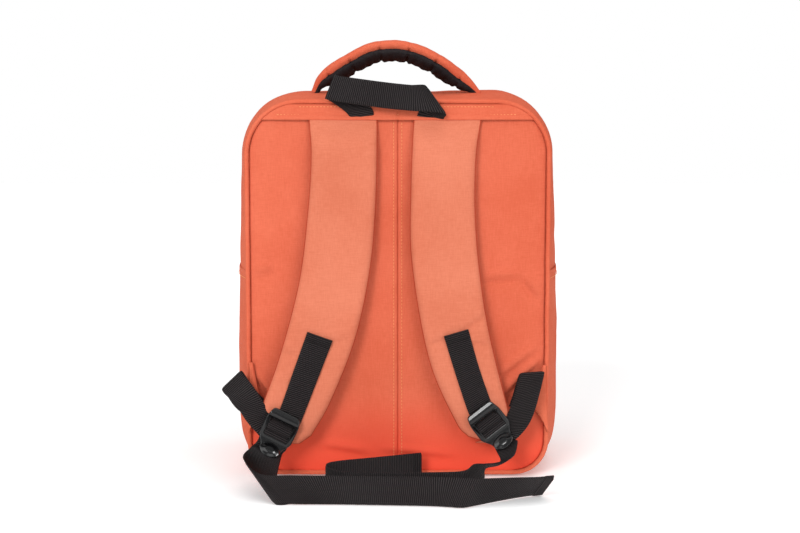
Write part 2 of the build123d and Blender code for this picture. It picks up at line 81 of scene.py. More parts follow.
surround = bpy.data.worlds.new("surround")
surround.use_nodes = True
surround_nodes, surround_links = surround.node_tree.nodes, surround.node_tree.links
surround_nodes["Background"].inputs["Color"].default_value = (1, 1, 1, 1)
surround_nodes["Background"].inputs["Strength"].default_value = 0.40
backdrop = surround_nodes.new("ShaderNodeBackground")
backdrop.inputs["Color"].default_value = (1, 1, 1, 1)
seen = surround_nodes.new("ShaderNodeLightPath")
either = surround_nodes.new("ShaderNodeMixShader")
surround_links.new(seen.outputs["Is Camera Ray"], either.inputs[0])
surround_links.new(surround_nodes["Background"].outputs[0], either.inputs[1])
surround_links.new(backdrop.outputs[0], either.inputs[2])
surround_links.new(either.outputs[0], surround_nodes["World Output"].inputs["Surface"])
bpy.context.scene.world = surround

soft_lamps = (
    ("key_lamp", (-0.75, -1.6, 0.90), 1.70, 22),
    ("fill_lamp", (1.1, -1.5, 0.6), 0.85, 40),
    ("top_lamp", (0.1, -0.15, 2.0), 1.25, 60),
)
for name, place, power, spread in soft_lamps:
    lamp = bpy.data.lights.new(name, "SUN")
    lamp.energy = power
    lamp.angle = math.radians(spread)
    lamp_object = bpy.data.objects.new(name, lamp)
    lamp_object.location = place
    lamp_object.rotation_euler = (-Vector(place)).to_track_quat("-Z", "Y").to_euler()
    bpy.context.collection.objects.link(lamp_object)

# ------------------------------------------------------------------ coral cloth
# Most of the pack is cut from one coral polyester: a tight plain weave with a
# polyurethane back, matt, with uneven threads and slight shade changes.


def new_group(name, inputs, outputs):
    """A shader group with float or colour sockets, and its two end nodes."""
    group = bpy.data.node_groups.new(name, "ShaderNodeTree")
    for socket_name, kind, value in inputs:
        socket = group.interface.new_socket(socket_name, in_out="INPUT", socket_type=kind)
        if value is not None:
            socket.default_value = value
    for socket_name, kind in outputs:
        group.interface.new_socket(socket_name, in_out="OUTPUT", socket_type=kind)
    return group, group.nodes.new("NodeGroupInput"), group.nodes.new("NodeGroupOutput")


def math_node(nodes, links, operation, first, second=None, third=None):
    """One Math node fed by sockets or plain numbers; returns its output."""
    node = nodes.new("ShaderNodeMath")
    node.operation = operation
    for index, value in enumerate((first, second, third)):
        if value is None:
            continue
        if isinstance(value, (int, float)):
            node.inputs[index].default_value = value
        else:
            links.new(value, node.inputs[index])
    return node.outputs[0]


def new_material(name):
    """A material with its nodes, its links and its one Principled shader."""
    material = bpy.data.materials.new(name)
    material.use_nodes = True
    nodes, links = material.node_tree.nodes, material.node_tree.links
    return material, nodes, links, nodes["Principled BSDF"]


def add_relief(nodes, links, shader, height, strength, distance):
    """Bump on a shader from a height socket."""
    bump = nodes.new("ShaderNodeBump")
    bump.inputs["Strength"].default_value = strength
    bump.inputs["Distance"].default_value = distance
    links.new(height, bump.inputs["Height"])
    links.new(bump.outputs["Normal"], shader.inputs["Normal"])


def make_weave_group():
    """Plain weave from the object's own coordinates: a height and a shade."""
    group, start, end = new_group(
        "plain_weave",
        (("Threads per metre", "NodeSocketFloat", 1100.0), ("Unevenness", "NodeSocketFloat", 0.8)),
        (("Height", "NodeSocketFloat"), ("Shade", "NodeSocketFloat")),
    )
    nodes, links = group.nodes, group.links
    place = nodes.new("ShaderNodeTexCoord").outputs["Object"]
    split = nodes.new("ShaderNodeSeparateXYZ")
    links.new(place, split.inputs[0])
    turn = math_node(nodes, links, "MULTIPLY", start.outputs["Threads per metre"], 2 * math.pi)
    across = math_node(nodes, links, "ADD", split.outputs["X"], split.outputs["Y"])
    upward = math_node(nodes, links, "MULTIPLY_ADD", split.outputs["Y"], 0.6, split.outputs["Z"])
    warp = math_node(nodes, links, "SINE", math_node(nodes, links, "MULTIPLY", across, turn))
    weft = math_node(nodes, links, "SINE", math_node(nodes, links, "MULTIPLY", upward, turn))
    cell = math_node(nodes, links, "MULTIPLY", warp, weft)
    slubs = []
    for stretch in ((1.0, 1.0, 9.0), (9.0, 9.0, 1.0)):
        stretched = nodes.new("ShaderNodeVectorMath")
        stretched.operation = "MULTIPLY"
        stretched.inputs[1].default_value = stretch
        links.new(place, stretched.inputs[0])
        slub = nodes.new("ShaderNodeTexNoise")
        slub.inputs["Scale"].default_value = 110
        slub.inputs["Detail"].default_value = 4
        links.new(stretched.outputs[0], slub.inputs["Vector"])
        slubs.append(slub.outputs["Fac"])
    both = math_node(nodes, links, "ADD", *slubs)
    uneven = math_node(nodes, links, "MULTIPLY", both, start.outputs["Unevenness"])
    height = math_node(nodes, links, "MULTIPLY_ADD", cell, 0.5, uneven)
    links.new(height, end.inputs["Height"])
    patches = nodes.new("ShaderNodeTexNoise")
    patches.inputs["Scale"].default_value = 9
    patches.inputs["Detail"].default_value = 4
    links.new(place, patches.inputs["Vector"])
    grain_shade = math_node(nodes, links, "MULTIPLY_ADD", both, 0.5, -0.5)
    fine_shade = math_node(nodes, links, "MULTIPLY_ADD", cell, 0.1, grain_shade)
    shade = math_node(nodes, links, "ADD", patches.outputs["Fac"], fine_shade)
    links.new(shade, end.inputs["Shade"])
    return group


weave_group = make_weave_group()


def make_cloth(name, deep, light, roughness, threads, bump_distance, low=None):
    """A woven cloth between two shades of one dye; if asked, painted deeper and redder near the floor as
    painted shade and coral bounce light.
    """
    material, nodes, links, shader = new_material(name)
    weave = nodes.new("ShaderNodeGroup")
    weave.node_tree = weave_group
    weave.inputs["Threads per metre"].default_value = threads
    dye = nodes.new("ShaderNodeValToRGB")
    dye.color_ramp.elements[0].position = 0.3
    dye.color_ramp.elements[0].color = (*deep, 1)
    dye.color_ramp.elements[1].position = 0.75
    dye.color_ramp.elements[1].color = (*light, 1)
    links.new(weave.outputs["Shade"], dye.inputs["Fac"])
    if low is None:
        links.new(dye.outputs["Color"], shader.inputs["Base Color"])
    else:
        place = nodes.new("ShaderNodeTexCoord")
        split = nodes.new("ShaderNodeSeparateXYZ")
        links.new(place.outputs["Object"], split.inputs[0])
        height = nodes.new("ShaderNodeMapRange")
        height.interpolation_type = "SMOOTHSTEP"
        height.inputs["From Min"].default_value = 0.0
        height.inputs["From Max"].default_value = 0.115
        links.new(split.outputs["Z"], height.inputs["Value"])
        # Painted shade: below about 115 mm the colour blends into the deeper, redder low colour, for the
        # shade and coral bounce light near the floor.
        painted_floor_shade = nodes.new("ShaderNodeMix")
        painted_floor_shade.data_type = "RGBA"
        painted_floor_shade.inputs["A"].default_value = (*low, 1)
        links.new(height.outputs["Result"], painted_floor_shade.inputs["Factor"])
        links.new(dye.outputs["Color"], painted_floor_shade.inputs["B"])
        links.new(painted_floor_shade.outputs["Result"], shader.inputs["Base Color"])
    add_relief(nodes, links, shader, weave.outputs["Height"], 0.55, bump_distance)
    shader.inputs["Roughness"].default_value = roughness
    shader.inputs["Specular IOR Level"].default_value = 0.07
    return material


coral_cloth = make_cloth("coral_cloth", (0.59, 0.105, 0.051), (0.67, 0.151, 0.081), 0.85, 1100, 0.00022)
# The back panel's cloth carries painted shade and bounce light near the floor.
panel_cloth = make_cloth(
    "panel_cloth", (0.58, 0.108, 0.054), (0.68, 0.153, 0.084), 0.85, 1100, 0.00022, low=(0.80, 0.080, 0.042)
)
strap_cloth = make_cloth("strap_cloth", (0.56, 0.147, 0.080), (0.65, 0.198, 0.116), 0.85, 1100, 0.00022)
coral_thread = make_cloth("coral_thread", (0.74, 0.27, 0.11), (0.84, 0.36, 0.16), 0.6, 2600, 0.00005)
# A deep red for the strap seams' lip: painted shadow, the dark line between each pad and the panel.
seam_shadow_cloth = make_cloth("seam_shadow_cloth", (0.36, 0.045, 0.022), (0.46, 0.07, 0.034), 0.9, 1500, 0.0001)
lining_cloth = make_cloth("lining_cloth", (0.085, 0.085, 0.09), (0.13, 0.13, 0.135), 0.8, 1500, 0.00008)


# ------------------------------------------------------------------ gusset
# One padded band runs right round the pack between the two piping seams. It
# bellies out between them and is pressed flat underneath, where the pack stands.
seam_half = 0.168
seam_low = 0.005
seam_high = 0.424
top_radius = 0.059
base_radius = 0.036
seam_y = 0.095
gusset_bulge = 0.013


def outline(inset=0.0, step=0.004):
    """Points and outward directions round the piping seam, drawn inside it."""
    places, outward = [], []

    def straight(start, end, normal):
        count = max(2, int((Vector(end) - Vector(start)).length / step))
        for i in range(count):
            places.append(Vector(start).lerp(Vector(end), i / count))
            outward.append(Vector(normal))

    def corner(centre, radius, start_angle):
        count = 18
        for i in range(count):
            angle = math.radians(start_angle - 90 * i / count)
            normal = Vector((math.cos(angle), math.sin(angle)))
            places.append(Vector(centre) + normal * (radius - inset))
            outward.append(normal)

    side, low, high = seam_half - inset, seam_low + inset, seam_high - inset
    top_x, base_x = seam_half - top_radius, seam_half - base_radius
    top_z, base_z = seam_high - top_radius, seam_low + base_radius
    straight((-top_x, high), (top_x, high), (0, 1))
    corner((top_x, top_z), top_radius, 90)
    straight((side, top_z), (side, base_z), (1, 0))
    corner((base_x, base_z), base_radius, 0)
    straight((base_x, low), (-base_x, low), (0, -1))
    corner((-base_x, base_z), base_radius, -90)
    straight((-side, base_z), (-side, top_z), (-1, 0))
    corner((-top_x, top_z), top_radius, 180)
    return places, outward


def grid_of(rows, columns, place):
    """A grid of points from place(s, t): s runs across and t upwards, nought to one."""
    steps_across = [c / (columns - 1) for c in range(columns)]
    steps_up = [r / (rows - 1) for r in range(rows)]
    return np.array([[place(s, t) for s in steps_across] for t in steps_up])


def surface(name, grid, material, wrap_rows=False, wrap_columns=False, span=(1.0, 1.0), caps=False):
    """A smooth quad mesh over a grid of points, with map coordinates in metres."""
    rows, columns = grid.shape[:2]
    last_row = rows if wrap_rows else rows - 1
    last_column = columns if wrap_columns else columns - 1
    faces, maps = [], []
    for r in range(last_row):
        for c in range(last_column):
            faces.append(
                (
                    r * columns + c,
                    r * columns + (c + 1) % columns,
                    (r + 1) % rows * columns + (c + 1) % columns,
                    (r + 1) % rows * columns + c,
                )
            )
            for dr, dc in ((0, 0), (0, 1), (1, 1), (1, 0)):
                maps.append(((c + dc) / last_column * span[0], (r + dr) / last_row * span[1]))
    if caps:
        faces.append(tuple(range(columns))[::-1])
        faces.append(tuple((rows - 1) * columns + c for c in range(columns)))
        maps += [(0.0, 0.0)] * columns + [(0.0, span[1])] * columns
    mesh = bpy.data.meshes.new(name)
    mesh.from_pydata(grid.reshape(-1, 3).tolist(), [], faces)
    layer = mesh.uv_layers.new(name="metres")
    layer.data.foreach_set("uv", np.array(maps, dtype=np.float32).ravel())
    mesh.polygons.foreach_set("use_smooth", [True] * len(faces))
    mesh.materials.append(material)
    mesh.update()
    piece = bpy.data.objects.new(name, mesh)
    bpy.context.collection.objects.link(piece)
    return piece


def face_outwards(piece):
    """Turns every face of a closed mesh outwards."""
    shell = bmesh.new()
    shell.from_mesh(piece.data)
    bmesh.ops.recalc_face_normals(shell, faces=shell.faces)
    shell.to_mesh(piece.data)
    shell.free()


def thicken(piece, thickness, inner_material=None):
    """Gives a cloth surface its thickness, on its inner side, for good."""
    if inner_material is not None:
        piece.data.materials.append(inner_material)
    shell = piece.modifiers.new("thickness", "SOLIDIFY")
    shell.thickness = thickness
    shell.offset = -1
    shell.material_offset = 1 if inner_material is not None else 0
    shell.material_offset_rim = 0
    whole = bpy.data.meshes.new_from_object(
        piece.evaluated_get(bpy.context.evaluated_depsgraph_get())
    )
    piece.modifiers.clear()
    piece.data = whole


def cloth_noise(x, y, z, scale, seed):
    """Smooth noise about zero, the same on every run."""
    return noise.noise(Vector((x, y, z)) * scale + Vector((seed, 0, 0)))


def smooth_step(value):
    """Nought below nought, one above one, and smooth between."""
    value = min(1.0, max(0.0, value))
    return value * value * (3 - 2 * value)


def gusset_swell(x, y, z):
    """How far the filled gusset stands out past its even curve, in metres."""
    slack = 1 - (y / seam_y) ** 2
    swell = 0.0016 * cloth_noise(x, y, z, 14, 3)
    swell += 0.0007 * cloth_noise(x, y, z, 45, 8)
    return swell * slack


def side_swell(z):
    """How much further the filled sides belly out at a height, in metres."""
    return 0.0044 * smooth_step((0.365 - z) / 0.11) * smooth_step((z - 0.02) / 0.14)


depth_steps = 49
floor_gap = 0.0004
places, outward = outline()
gusset_grid = np.zeros((len(places), depth_steps, 3))
for r, (place, normal) in enumerate(zip(places, outward)):
    for c in range(depth_steps):
        y = -seam_y + 2 * seam_y * c / (depth_steps - 1)
        out = (gusset_bulge + side_swell(place.y) * abs(normal.x)) * (1 - (y / seam_y) ** 2)
        out += gusset_swell(place.x, y, place.y)
        z = place.y + normal.y * out
        gusset_grid[r, c] = (place.x + normal.x * out, y, max(z, floor_gap))
gusset = surface("gusset_shell", gusset_grid, coral_cloth, wrap_rows=True, span=(0.19, 1.45))
gusset.data.flip_normals()
thicken(gusset, 0.003, lining_cloth)
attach(gusset, "bag")
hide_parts("top_gusset", "left_gusset", "right_gusset", "base_panel")

# ------------------------------------------------------------------ piping
# A cord wrapped in coral cloth is sewn into both edges of the gusset, and it
# gives the pack its outline at the back and at the front.
piping_radius = 0.0026


def tube(name, path, radius_at, material, sides=12, closed=True):
    """A round tube along a list of points, its radius given by a function."""
    count = len(path)
    grid = np.zeros((count, sides, 3))
    for i, point in enumerate(path):
        ahead = path[(i + 1) % count] if closed else path[min(i + 1, count - 1)]
        behind = path[i - 1] if closed or i else path[0]
        forward = (Vector(ahead) - Vector(behind)).normalized()
        side = forward.cross(Vector((0, 1, 0))).normalized()
        up = side.cross(forward)
        for k in range(sides):
            angle = 2 * math.pi * k / sides
            offset = side * math.cos(angle) + up * math.sin(angle)
            grid[i, k] = Vector(point) + offset * radius_at(i)
    span = (2 * math.pi * radius_at(0), count * 0.003)
    piece = surface(name, grid, material, wrap_rows=closed, wrap_columns=True, span=span, caps=not closed)
    face_outwards(piece)
    return piece


def puckered_radius(i):
    """The piping's radius at its i-th point, drawn in a little at the stitches."""
    return piping_radius * (1 + 0.05 * math.sin(i * 1.9))


for name, y in (("rear_piping", -seam_y - 0.0028), ("front_piping", seam_y + 0.0028)):
    path = []
    for p, n in zip(*outline(step=0.003)):
        waver_x = 0.0004 * cloth_noise(p.x, y, p.y, 30, 5)
        waver_z = 0.0004 * cloth_noise(p.x, y, p.y, 30, 6)
        path.append((p.x + n.x * waver_x, y, p.y + n.y * waver_z))
    cover = tube(name + "_cover", path, puckered_radius, coral_cloth)
    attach(cover, "bag")
    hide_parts(name)

# ------------------------------------------------------------------ back panel
# Two cut halves of coral cloth over foam, joined by a seam down the middle.
# The seam pulls in, and the cloth creases where the side wings tug at it.
panel_inset = 0.0022
panel_y = -0.0972
panel_middle_z = 0.2145
panel_half_height = 0.2095


def bump_at(value, centre, width):
    """A smooth bump of height one."""
    return math.exp(-(((value - centre) / width) ** 2))


def crease(x, z, start, end, depth, width):
    """A soft fold of the cloth along a line, fading out towards its ends."""
    a, b, p = Vector(start), Vector(end), Vector((x, z))
    along = b - a
    t = (p - a).dot(along) / along.length_squared
    if not -0.2 < t < 1.2:
        return 0.0
    away = p - (a + along * t)
    signed = away.x * -along.y + away.y * along.x
    distance = math.copysign(away.length, signed) / width
    fade = math.exp(-(((t - 0.5) / 0.42) ** 4))
    ridge = math.exp(-((distance - 0.55) ** 2))
    hollow = math.exp(-((distance + 0.55) ** 2))
    return 1.6 * depth * fade * (ridge - hollow)


panel_creases = (
    ((0.094, 0.226), (0.139, 0.229), 0.0011, 0.005),
    ((0.139, 0.229), (0.160, 0.202), 0.0010, 0.005),
    ((0.118, 0.092), (0.165, 0.136), 0.0022, 0.007),
    ((0.112, 0.112), (0.160, 0.148), 0.0012, 0.006),
    ((-0.160, 0.232), (-0.139, 0.236), 0.0010, 0.005),
    ((-0.164, 0.118), (-0.140, 0.088), 0.0018, 0.006),
    ((-0.02, 0.03), (0.07, 0.022), 0.0008, 0.006),
    ((-0.09, 0.036), (-0.03, 0.026), 0.0008, 0.006),
)


deepest_fold = -0.0006


def panel_relief(x, z):
    """How far the back panel stands out towards the wearer."""
    crown = 0.0035 * (1 - (x / seam_half) ** 4)
    crown *= 1 - ((z - panel_middle_z) / panel_half_height) ** 6
    seam = -0.0016 * bump_at(x, 0, 0.0014)
    ease = 0.0005 * cloth_noise(x, 0, z, 22, 2) + 0.00022 * cloth_noise(x, 0, z, 70, 4)
    folds = 2.3 * sum(crease(x, z, *fold) for fold in panel_creases)
    return max(crown + seam + ease + folds, deepest_fold)


def outline_half_width(z, inset):
    """Half the width of the outline at a height."""
    for centre, radius, beyond in (
        (seam_high - top_radius, top_radius, 1),
        (seam_low + base_radius, base_radius, -1),
    ):
        rise = (z - centre) * beyond
        if rise > 0:
            flat = seam_half - radius
            return flat + math.sqrt(max((radius - inset) ** 2 - rise**2, 0))
    return seam_half - inset


panel_rows = 150
panel_heights = [
    panel_middle_z + (panel_half_height - panel_inset) * math.sin(math.pi * (i / (panel_rows - 1) - 0.5))
    for i in range(panel_rows)
]
across_steps = [0, 0.006, 0.012, 0.02, 0.03] + [0.03 + 0.97 * i / 60 for i in range(1, 61)]
for side, sign in (("left", -1), ("right", 1)):
    grid = np.zeros((panel_rows, len(across_steps), 3))
    for r, z in enumerate(panel_heights):
        half = outline_half_width(z, panel_inset)
        for c, fraction in enumerate(across_steps):
            x = sign * half * fraction
            grid[r, c] = (x, panel_y - panel_relief(x, z) + 0.0012 * bump_at(fraction, 1, 0.03), z)
    half_panel = surface(f"{side}_back_cloth", grid, panel_cloth, span=(0.165, 0.415))
    if sign < 0:
        half_panel.data.flip_normals()
    thicken(half_panel, 0.0012)
    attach(half_panel, "bag")
    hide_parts(f"{side}_back_panel")


thread_ring = 6
thread_profile = ((0, 0.35, 0), (0.2, 1, 0.5), (0.5, 1.1, 0.9), (0.8, 1, 0.5), (1, 0.35, 0))


def stitches(name, path, outward_at, material, body, length=0.0026, gap=0.0012, radius=0.00032):
    """A row of short raised thread stitches along a path of points."""
    lengths = [0.0]
    for a, b in zip(path, path[1:]):
        lengths.append(lengths[-1] + (Vector(b) - Vector(a)).length)
    thread = bmesh.new()
    at = 0.0
    segment = 0
    while at + length < lengths[-1]:
        ends = []
        for distance in (at, at + length):
            while segment + 2 < len(path) and lengths[segment + 1] < distance:
                segment += 1
            part = lengths[segment + 1] - lengths[segment]
            t = (distance - lengths[segment]) / part if part else 0
            ends.append(Vector(path[segment]).lerp(Vector(path[segment + 1]), t))
        middle = (ends[0] + ends[1]) / 2
        forward = (ends[1] - ends[0]).normalized()
        up = Vector(outward_at(middle)).normalized()
        side = forward.cross(up).normalized()
        rings = []
        for along, swell, lift in thread_profile:
            centre = ends[0].lerp(ends[1], along) + up * radius * lift
            ring = []
            for k in range(thread_ring):
                angle = 2 * math.pi * k / thread_ring
                offset = side * math.cos(angle) + up * math.sin(angle)
                ring.append(thread.verts.new(centre + offset * radius * swell))
            rings.append(ring)
        for a, b in zip(rings, rings[1:]):
            for k in range(thread_ring):
                following = (k + 1) % thread_ring
                thread.faces.new((a[k], a[following], b[following], b[k]))
        thread.faces.new(rings[0][::-1])
        thread.faces.new(rings[-1])
        at += length + gap
    for face in thread.faces:
        face.smooth = True
    bmesh.ops.recalc_face_normals(thread, faces=thread.faces)
    mesh = bpy.data.meshes.new(name)
    thread.to_mesh(mesh)
    thread.free()
    mesh.materials.append(material)
    row = bpy.data.objects.new(name, mesh)
    bpy.context.collection.objects.link(row)
    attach(row, body)


def rearwards(point):
    """The direction that the back panel faces."""
    return (0, -1, 0)


for index, x in enumerate((-0.0045, 0.0045)):
    heights = np.linspace(0.012, 0.402, 160)
    seam_line = [(x, panel_y - panel_relief(x, z) - 0.0001, z) for z in heights]
    stitches(f"centre_stitching_{index + 1}", seam_line, rearwards, coral_thread, "bag")

# ------------------------------------------------------------------ yoke
# A folded strip across the top of the back panel covers the ends of the
# shoulder straps and of the hang loop, and is sewn down along both edges.
yoke_low = 0.4035
yoke_high = 0.4210
yoke_seams = (0.4095, 0.4180)


def yoke_place(s, t):
    """The yoke's surface: lifted over the strap ends, and sunk along its seam."""
    z = yoke_low + (yoke_high - yoke_low) * t
    x = outline_half_width(z, panel_inset) * (2 * s - 1)
    lift = 0.0016 + 0.0010 * bump_at(t, 0.10, 0.16) + 0.0006 * math.sin(math.pi * t)
    lift += 0.0003 * cloth_noise(x, 0, z, 60, 9)
    lift -= 0.0007 * bump_at(z, yoke_seams[0], 0.0012)
    over_straps = bump_at(x, -0.0605, 0.074) + bump_at(x, 0.055, 0.074)
    lift += 0.0026 * min(1, over_straps) * (1 - t)
    return x, panel_y - panel_relief(x, z) - lift, z


yoke = surface("yoke_cloth", grid_of(14, 161, yoke_place), coral_cloth, span=(0.31, 0.018))
thicken(yoke, 0.0016)
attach(yoke, "bag")
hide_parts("yoke")
for index, z in enumerate(yoke_seams):
    half = outline_half_width(z, 0.008)
    line = [(x, panel_y - panel_relief(x, z) - 0.0022, z) for x in np.linspace(-half, half, 90)]
    stitches(f"yoke_stitching_{index + 1}", line, rearwards, coral_thread, "bag")

# ------------------------------------------------------------------ padding
# Inside the back panel are a foam sheet, a stiff plastic board and a dark
# lining; another board stiffens the base. They show when the lid is open.


def make_grain_group():
    """Fine uneven grain: a value over the surface, and a roughness that follows it."""
    group, start, end = new_group(
        "fine_grain",
        (("Grains per metre", "NodeSocketFloat", 300.0), ("Mean roughness", "NodeSocketFloat", 0.5)),
        (("Grain", "NodeSocketFloat"), ("Roughness", "NodeSocketFloat")),
    )
    nodes, links = group.nodes, group.links
    place = nodes.new("ShaderNodeTexCoord")
    grain = nodes.new("ShaderNodeTexNoise")
    grain.inputs["Detail"].default_value = 4
    links.new(start.outputs["Grains per metre"], grain.inputs["Scale"])
    links.new(place.outputs["Object"], grain.inputs["Vector"])
    share = math_node(nodes, links, "MULTIPLY_ADD", grain.outputs["Fac"], 0.45, 0.78)
    uneven = math_node(nodes, links, "MULTIPLY", share, start.outputs["Mean roughness"])
    links.new(grain.outputs["Fac"], end.inputs["Grain"])
    links.new(uneven, end.inputs["Roughness"])
    return group


grain_group = make_grain_group()


def make_plain(name, colour, roughness, grain_scale, grain_depth, coat=0.0):
    """Moulded plastic or foam: one colour with a fine uneven grain."""
    material, nodes, links, shader = new_material(name)
    grain = nodes.new("ShaderNodeGroup")
    grain.node_tree = grain_group
    grain.inputs["Grains per metre"].default_value = grain_scale
    grain.inputs["Mean roughness"].default_value = roughness
    tint = nodes.new("ShaderNodeValToRGB")
    tint.color_ramp.elements[0].color = (*[c * 0.82 for c in colour], 1)
    tint.color_ramp.elements[1].color = (*[min(1, c * 1.15) for c in colour], 1)
    links.new(grain.outputs["Grain"], tint.inputs["Fac"])
    links.new(tint.outputs["Color"], shader.inputs["Base Color"])
    links.new(grain.outputs["Roughness"], shader.inputs["Roughness"])
    add_relief(nodes, links, shader, grain.outputs["Grain"], 0.4, grain_depth)
    shader.inputs["Coat Weight"].default_value = coat
    return material


def repaint(node, material):
    """Gives a carried-over part its finish."""
    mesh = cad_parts[node].data
    mesh.materials.clear()
    mesh.materials.append(material)


foam_finish = make_plain("grey_foam", (0.30, 0.30, 0.31), 0.9, 900, 0.0004)
board_finish = make_plain("black_board", (0.035, 0.035, 0.037), 0.5, 300, 0.00005)
repaint("back_foam", foam_finish)
repaint("frame_board", board_finish)
repaint("base_board", board_finish)

lining_y = -0.0846
lining_inset = 0.006


def lining_place(s, t):
    """The lining's surface, a little slack between its sewn edges."""
    z = seam_low + lining_inset + (seam_high - seam_low - 2 * lining_inset) * t
    x = outline_half_width(z, lining_inset) * (2 * s - 1)
    slack = (1 - (2 * s - 1) ** 6) * (1 - (2 * t - 1) ** 8)
    puff = 0.0010 * slack + 0.0008 * slack * cloth_noise(x, 0, z, 20, 12)
    return x, lining_y + puff, z


back_lining = surface("back_lining_cloth", grid_of(60, 61, lining_place), lining_cloth, span=(0.324, 0.407))
back_lining.data.flip_normals()
thicken(back_lining, 0.0008)
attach(back_lining, "bag")
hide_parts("back_lining")

# ------------------------------------------------------------------ side pockets
# A second layer of cloth over the lower half of each side gusset makes an
# open pocket, finished with a folded and stitched hem at its mouth.
pocket_low = 0.040
pocket_high = 0.234
pocket_bulge = 0.0195
hem_height = 0.009
pocket_foot = pocket_low - 0.012


def pocket_place(sign, s, t):
    """A side pocket's surface: full in its belly, and drawn in at its mouth."""
    z = pocket_foot + (pocket_high - pocket_foot) * t
    fullness = math.sin(math.pi / 2 * min(1, t * 4.0)) ** 0.7
    fullness *= 1 - 0.90 * smooth_step((t - 0.66) / 0.34)
    y = seam_y * (2 * s - 1)
    slack = 1 - (y / seam_y) ** 2
    under = gusset_bulge + side_swell(z)
    out = slack * (under + max(0.0, pocket_bulge - under) * fullness)
    out += slack * (0.0012 * cloth_noise(y, z, sign, 16, 6) + 0.0004 * cloth_noise(y, z, sign, 50, 7))
    corner_drop = max(0.0, seam_low + base_radius - z)
    pull = base_radius - math.sqrt(max(base_radius**2 - corner_drop**2, 0))
    return sign * (seam_half + out + 0.0006 - pull), y, z


def hem_place(sign, s, t):
    """The folded hem's surface, a round ridge along the pocket's mouth."""
    z = pocket_high - hem_height + (hem_height + 0.0008) * t
    y = seam_y * (2 * s - 1)
    slack = 1 - (y / seam_y) ** 2
    under = gusset_bulge + side_swell(z)
    out = slack * (under + 0.10 * (pocket_bulge - under) + 0.0012 * cloth_noise(y, z, sign, 16, 6))
    lift = 0.0004 + 0.0005 * math.sin(math.pi * t) ** 0.5
    return sign * (seam_half + out + 0.0006 + lift * (0.4 + 0.6 * slack)), y, z


pocket_columns = 61
for side, sign in (("left", -1), ("right", 1)):
    grid = grid_of(70, pocket_columns, lambda s, t: pocket_place(sign, s, t))
    pocket = surface(f"{side}_pocket_cloth", grid, coral_cloth, span=(0.2, 0.21))
    if sign < 0:
        pocket.data.flip_normals()
    thicken(pocket, 0.0012, lining_cloth)
    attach(pocket, "bag")
    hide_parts(f"{side}_pocket")

    hem_grid = grid_of(9, pocket_columns, lambda s, t: hem_place(sign, s, t))
    hem = surface(f"{side}_pocket_hem_cloth", hem_grid, coral_cloth, span=(0.2, 0.01))
    if sign < 0:
        hem.data.flip_normals()
    thicken(hem, 0.0012)
    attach(hem, "bag")
    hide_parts(f"{side}_pocket_hem")
    line = [tuple(point + (sign * 0.0006, 0, 0)) for point in hem_grid[1, 1:-1]]
    stitches(f"{side}_hem_stitching", line, lambda p: (p.x, 0, 0), coral_thread, "bag")

# ------------------------------------------------------------------ wings
# A doubled cloth wedge in each lower side seam, creased where the load webbing
# pulls on it, with a row of stitches along its slanted edges.
wings = {
    "left": (((-0.1655, 0.132), (-0.168, 0.053)), (-0.150, 0.083)),
    "right": (((0.1655, 0.129), (0.169, 0.053)), (0.148, 0.083)),
}


def wing_place(seam_ends, apex, s, t):
    """A wing's surface, from its seam at s = 0 to its slanted edge at s = 1."""
    root = Vector(seam_ends[0]).lerp(Vector(seam_ends[1]), t)
    reach = math.sin(math.pi * t) ** 0.8
    tip = root.lerp(Vector(apex), s * reach)
    lift = 0.0009 * math.sin(math.pi * s) + 0.0008 * math.sin(9 * t + 5 * s) * s
    pulled = 0.0016 * s * reach
    return tip.x, wing_y - lift - pulled, tip.y


wing_y = -0.1012
for side, (seam_ends, apex) in wings.items():
    grid = grid_of(28, 22, lambda s, t: wing_place(seam_ends, apex, s, t))
    wing = surface(f"{side}_wing_cloth", grid, coral_cloth, span=(0.03, 0.08))
    if side == "right":
        wing.data.flip_normals()
    thicken(wing, 0.002)
    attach(wing, "bag")
    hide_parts(f"{side}_wing")
    edge = [tuple(point - (0, 0.0004, 0)) for point in grid[3:-3, -3]]
    stitches(f"{side}_wing_stitching", edge, rearwards, coral_thread, "bag")

# ------------------------------------------------------------------ strap pads
# Each shoulder strap is foam between two cloths, closed by a knife seam round
# its edge, so that both faces crown towards the middle.
strap_lean = math.radians(2.2)
strap_root = Vector((0, -0.1025, 0.404))
strap_down = Vector((0, -math.sin(strap_lean), -math.cos(strap_lean)))
strap_out = Vector((0, -math.cos(strap_lean), math.sin(strap_lean)))
pad_thickness = 0.012
pad_shoulder = 0.009
under_yoke = 0.4025
strap_edges = {
    "left": (
        ((-98, 405), (-95, 365), (-99, 302), (-109, 225), (-130, 145), (-153, 80)),
        ((-23, 405), (-24, 332), (-30, 247), (-47, 164), (-75, 92), (-97, 53)),
        (-147, 58),
        (-118, 42),
    ),
    "right": (
        ((92, 405), (86, 365), (85, 305), (90, 239), (101, 169), (123, 79)),
        ((18, 405), (15, 332), (16, 247), (35, 139), (65, 69), (79, 52)),
        (118, 55),
        (95, 43),
    ),
}


def curve_through(points, pieces):
    """Many points on a smooth curve through the given ones, as vectors or arrays."""
    ends = [2 * points[0] - points[1], *points, 2 * points[-1] - points[-2]]
    dense = []
    for a, b, c, d in zip(ends, ends[1:], ends[2:], ends[3:]):
        slope, bend, twist = c - a, 2 * a - 5 * b + 4 * c - d, 3 * b - a - 3 * c + d
        for i in range(pieces):
            t = i / pieces
            dense.append(0.5 * (2 * b + slope * t + bend * t**2 + twist * t**3))
    dense.append(ends[-2])
    return dense


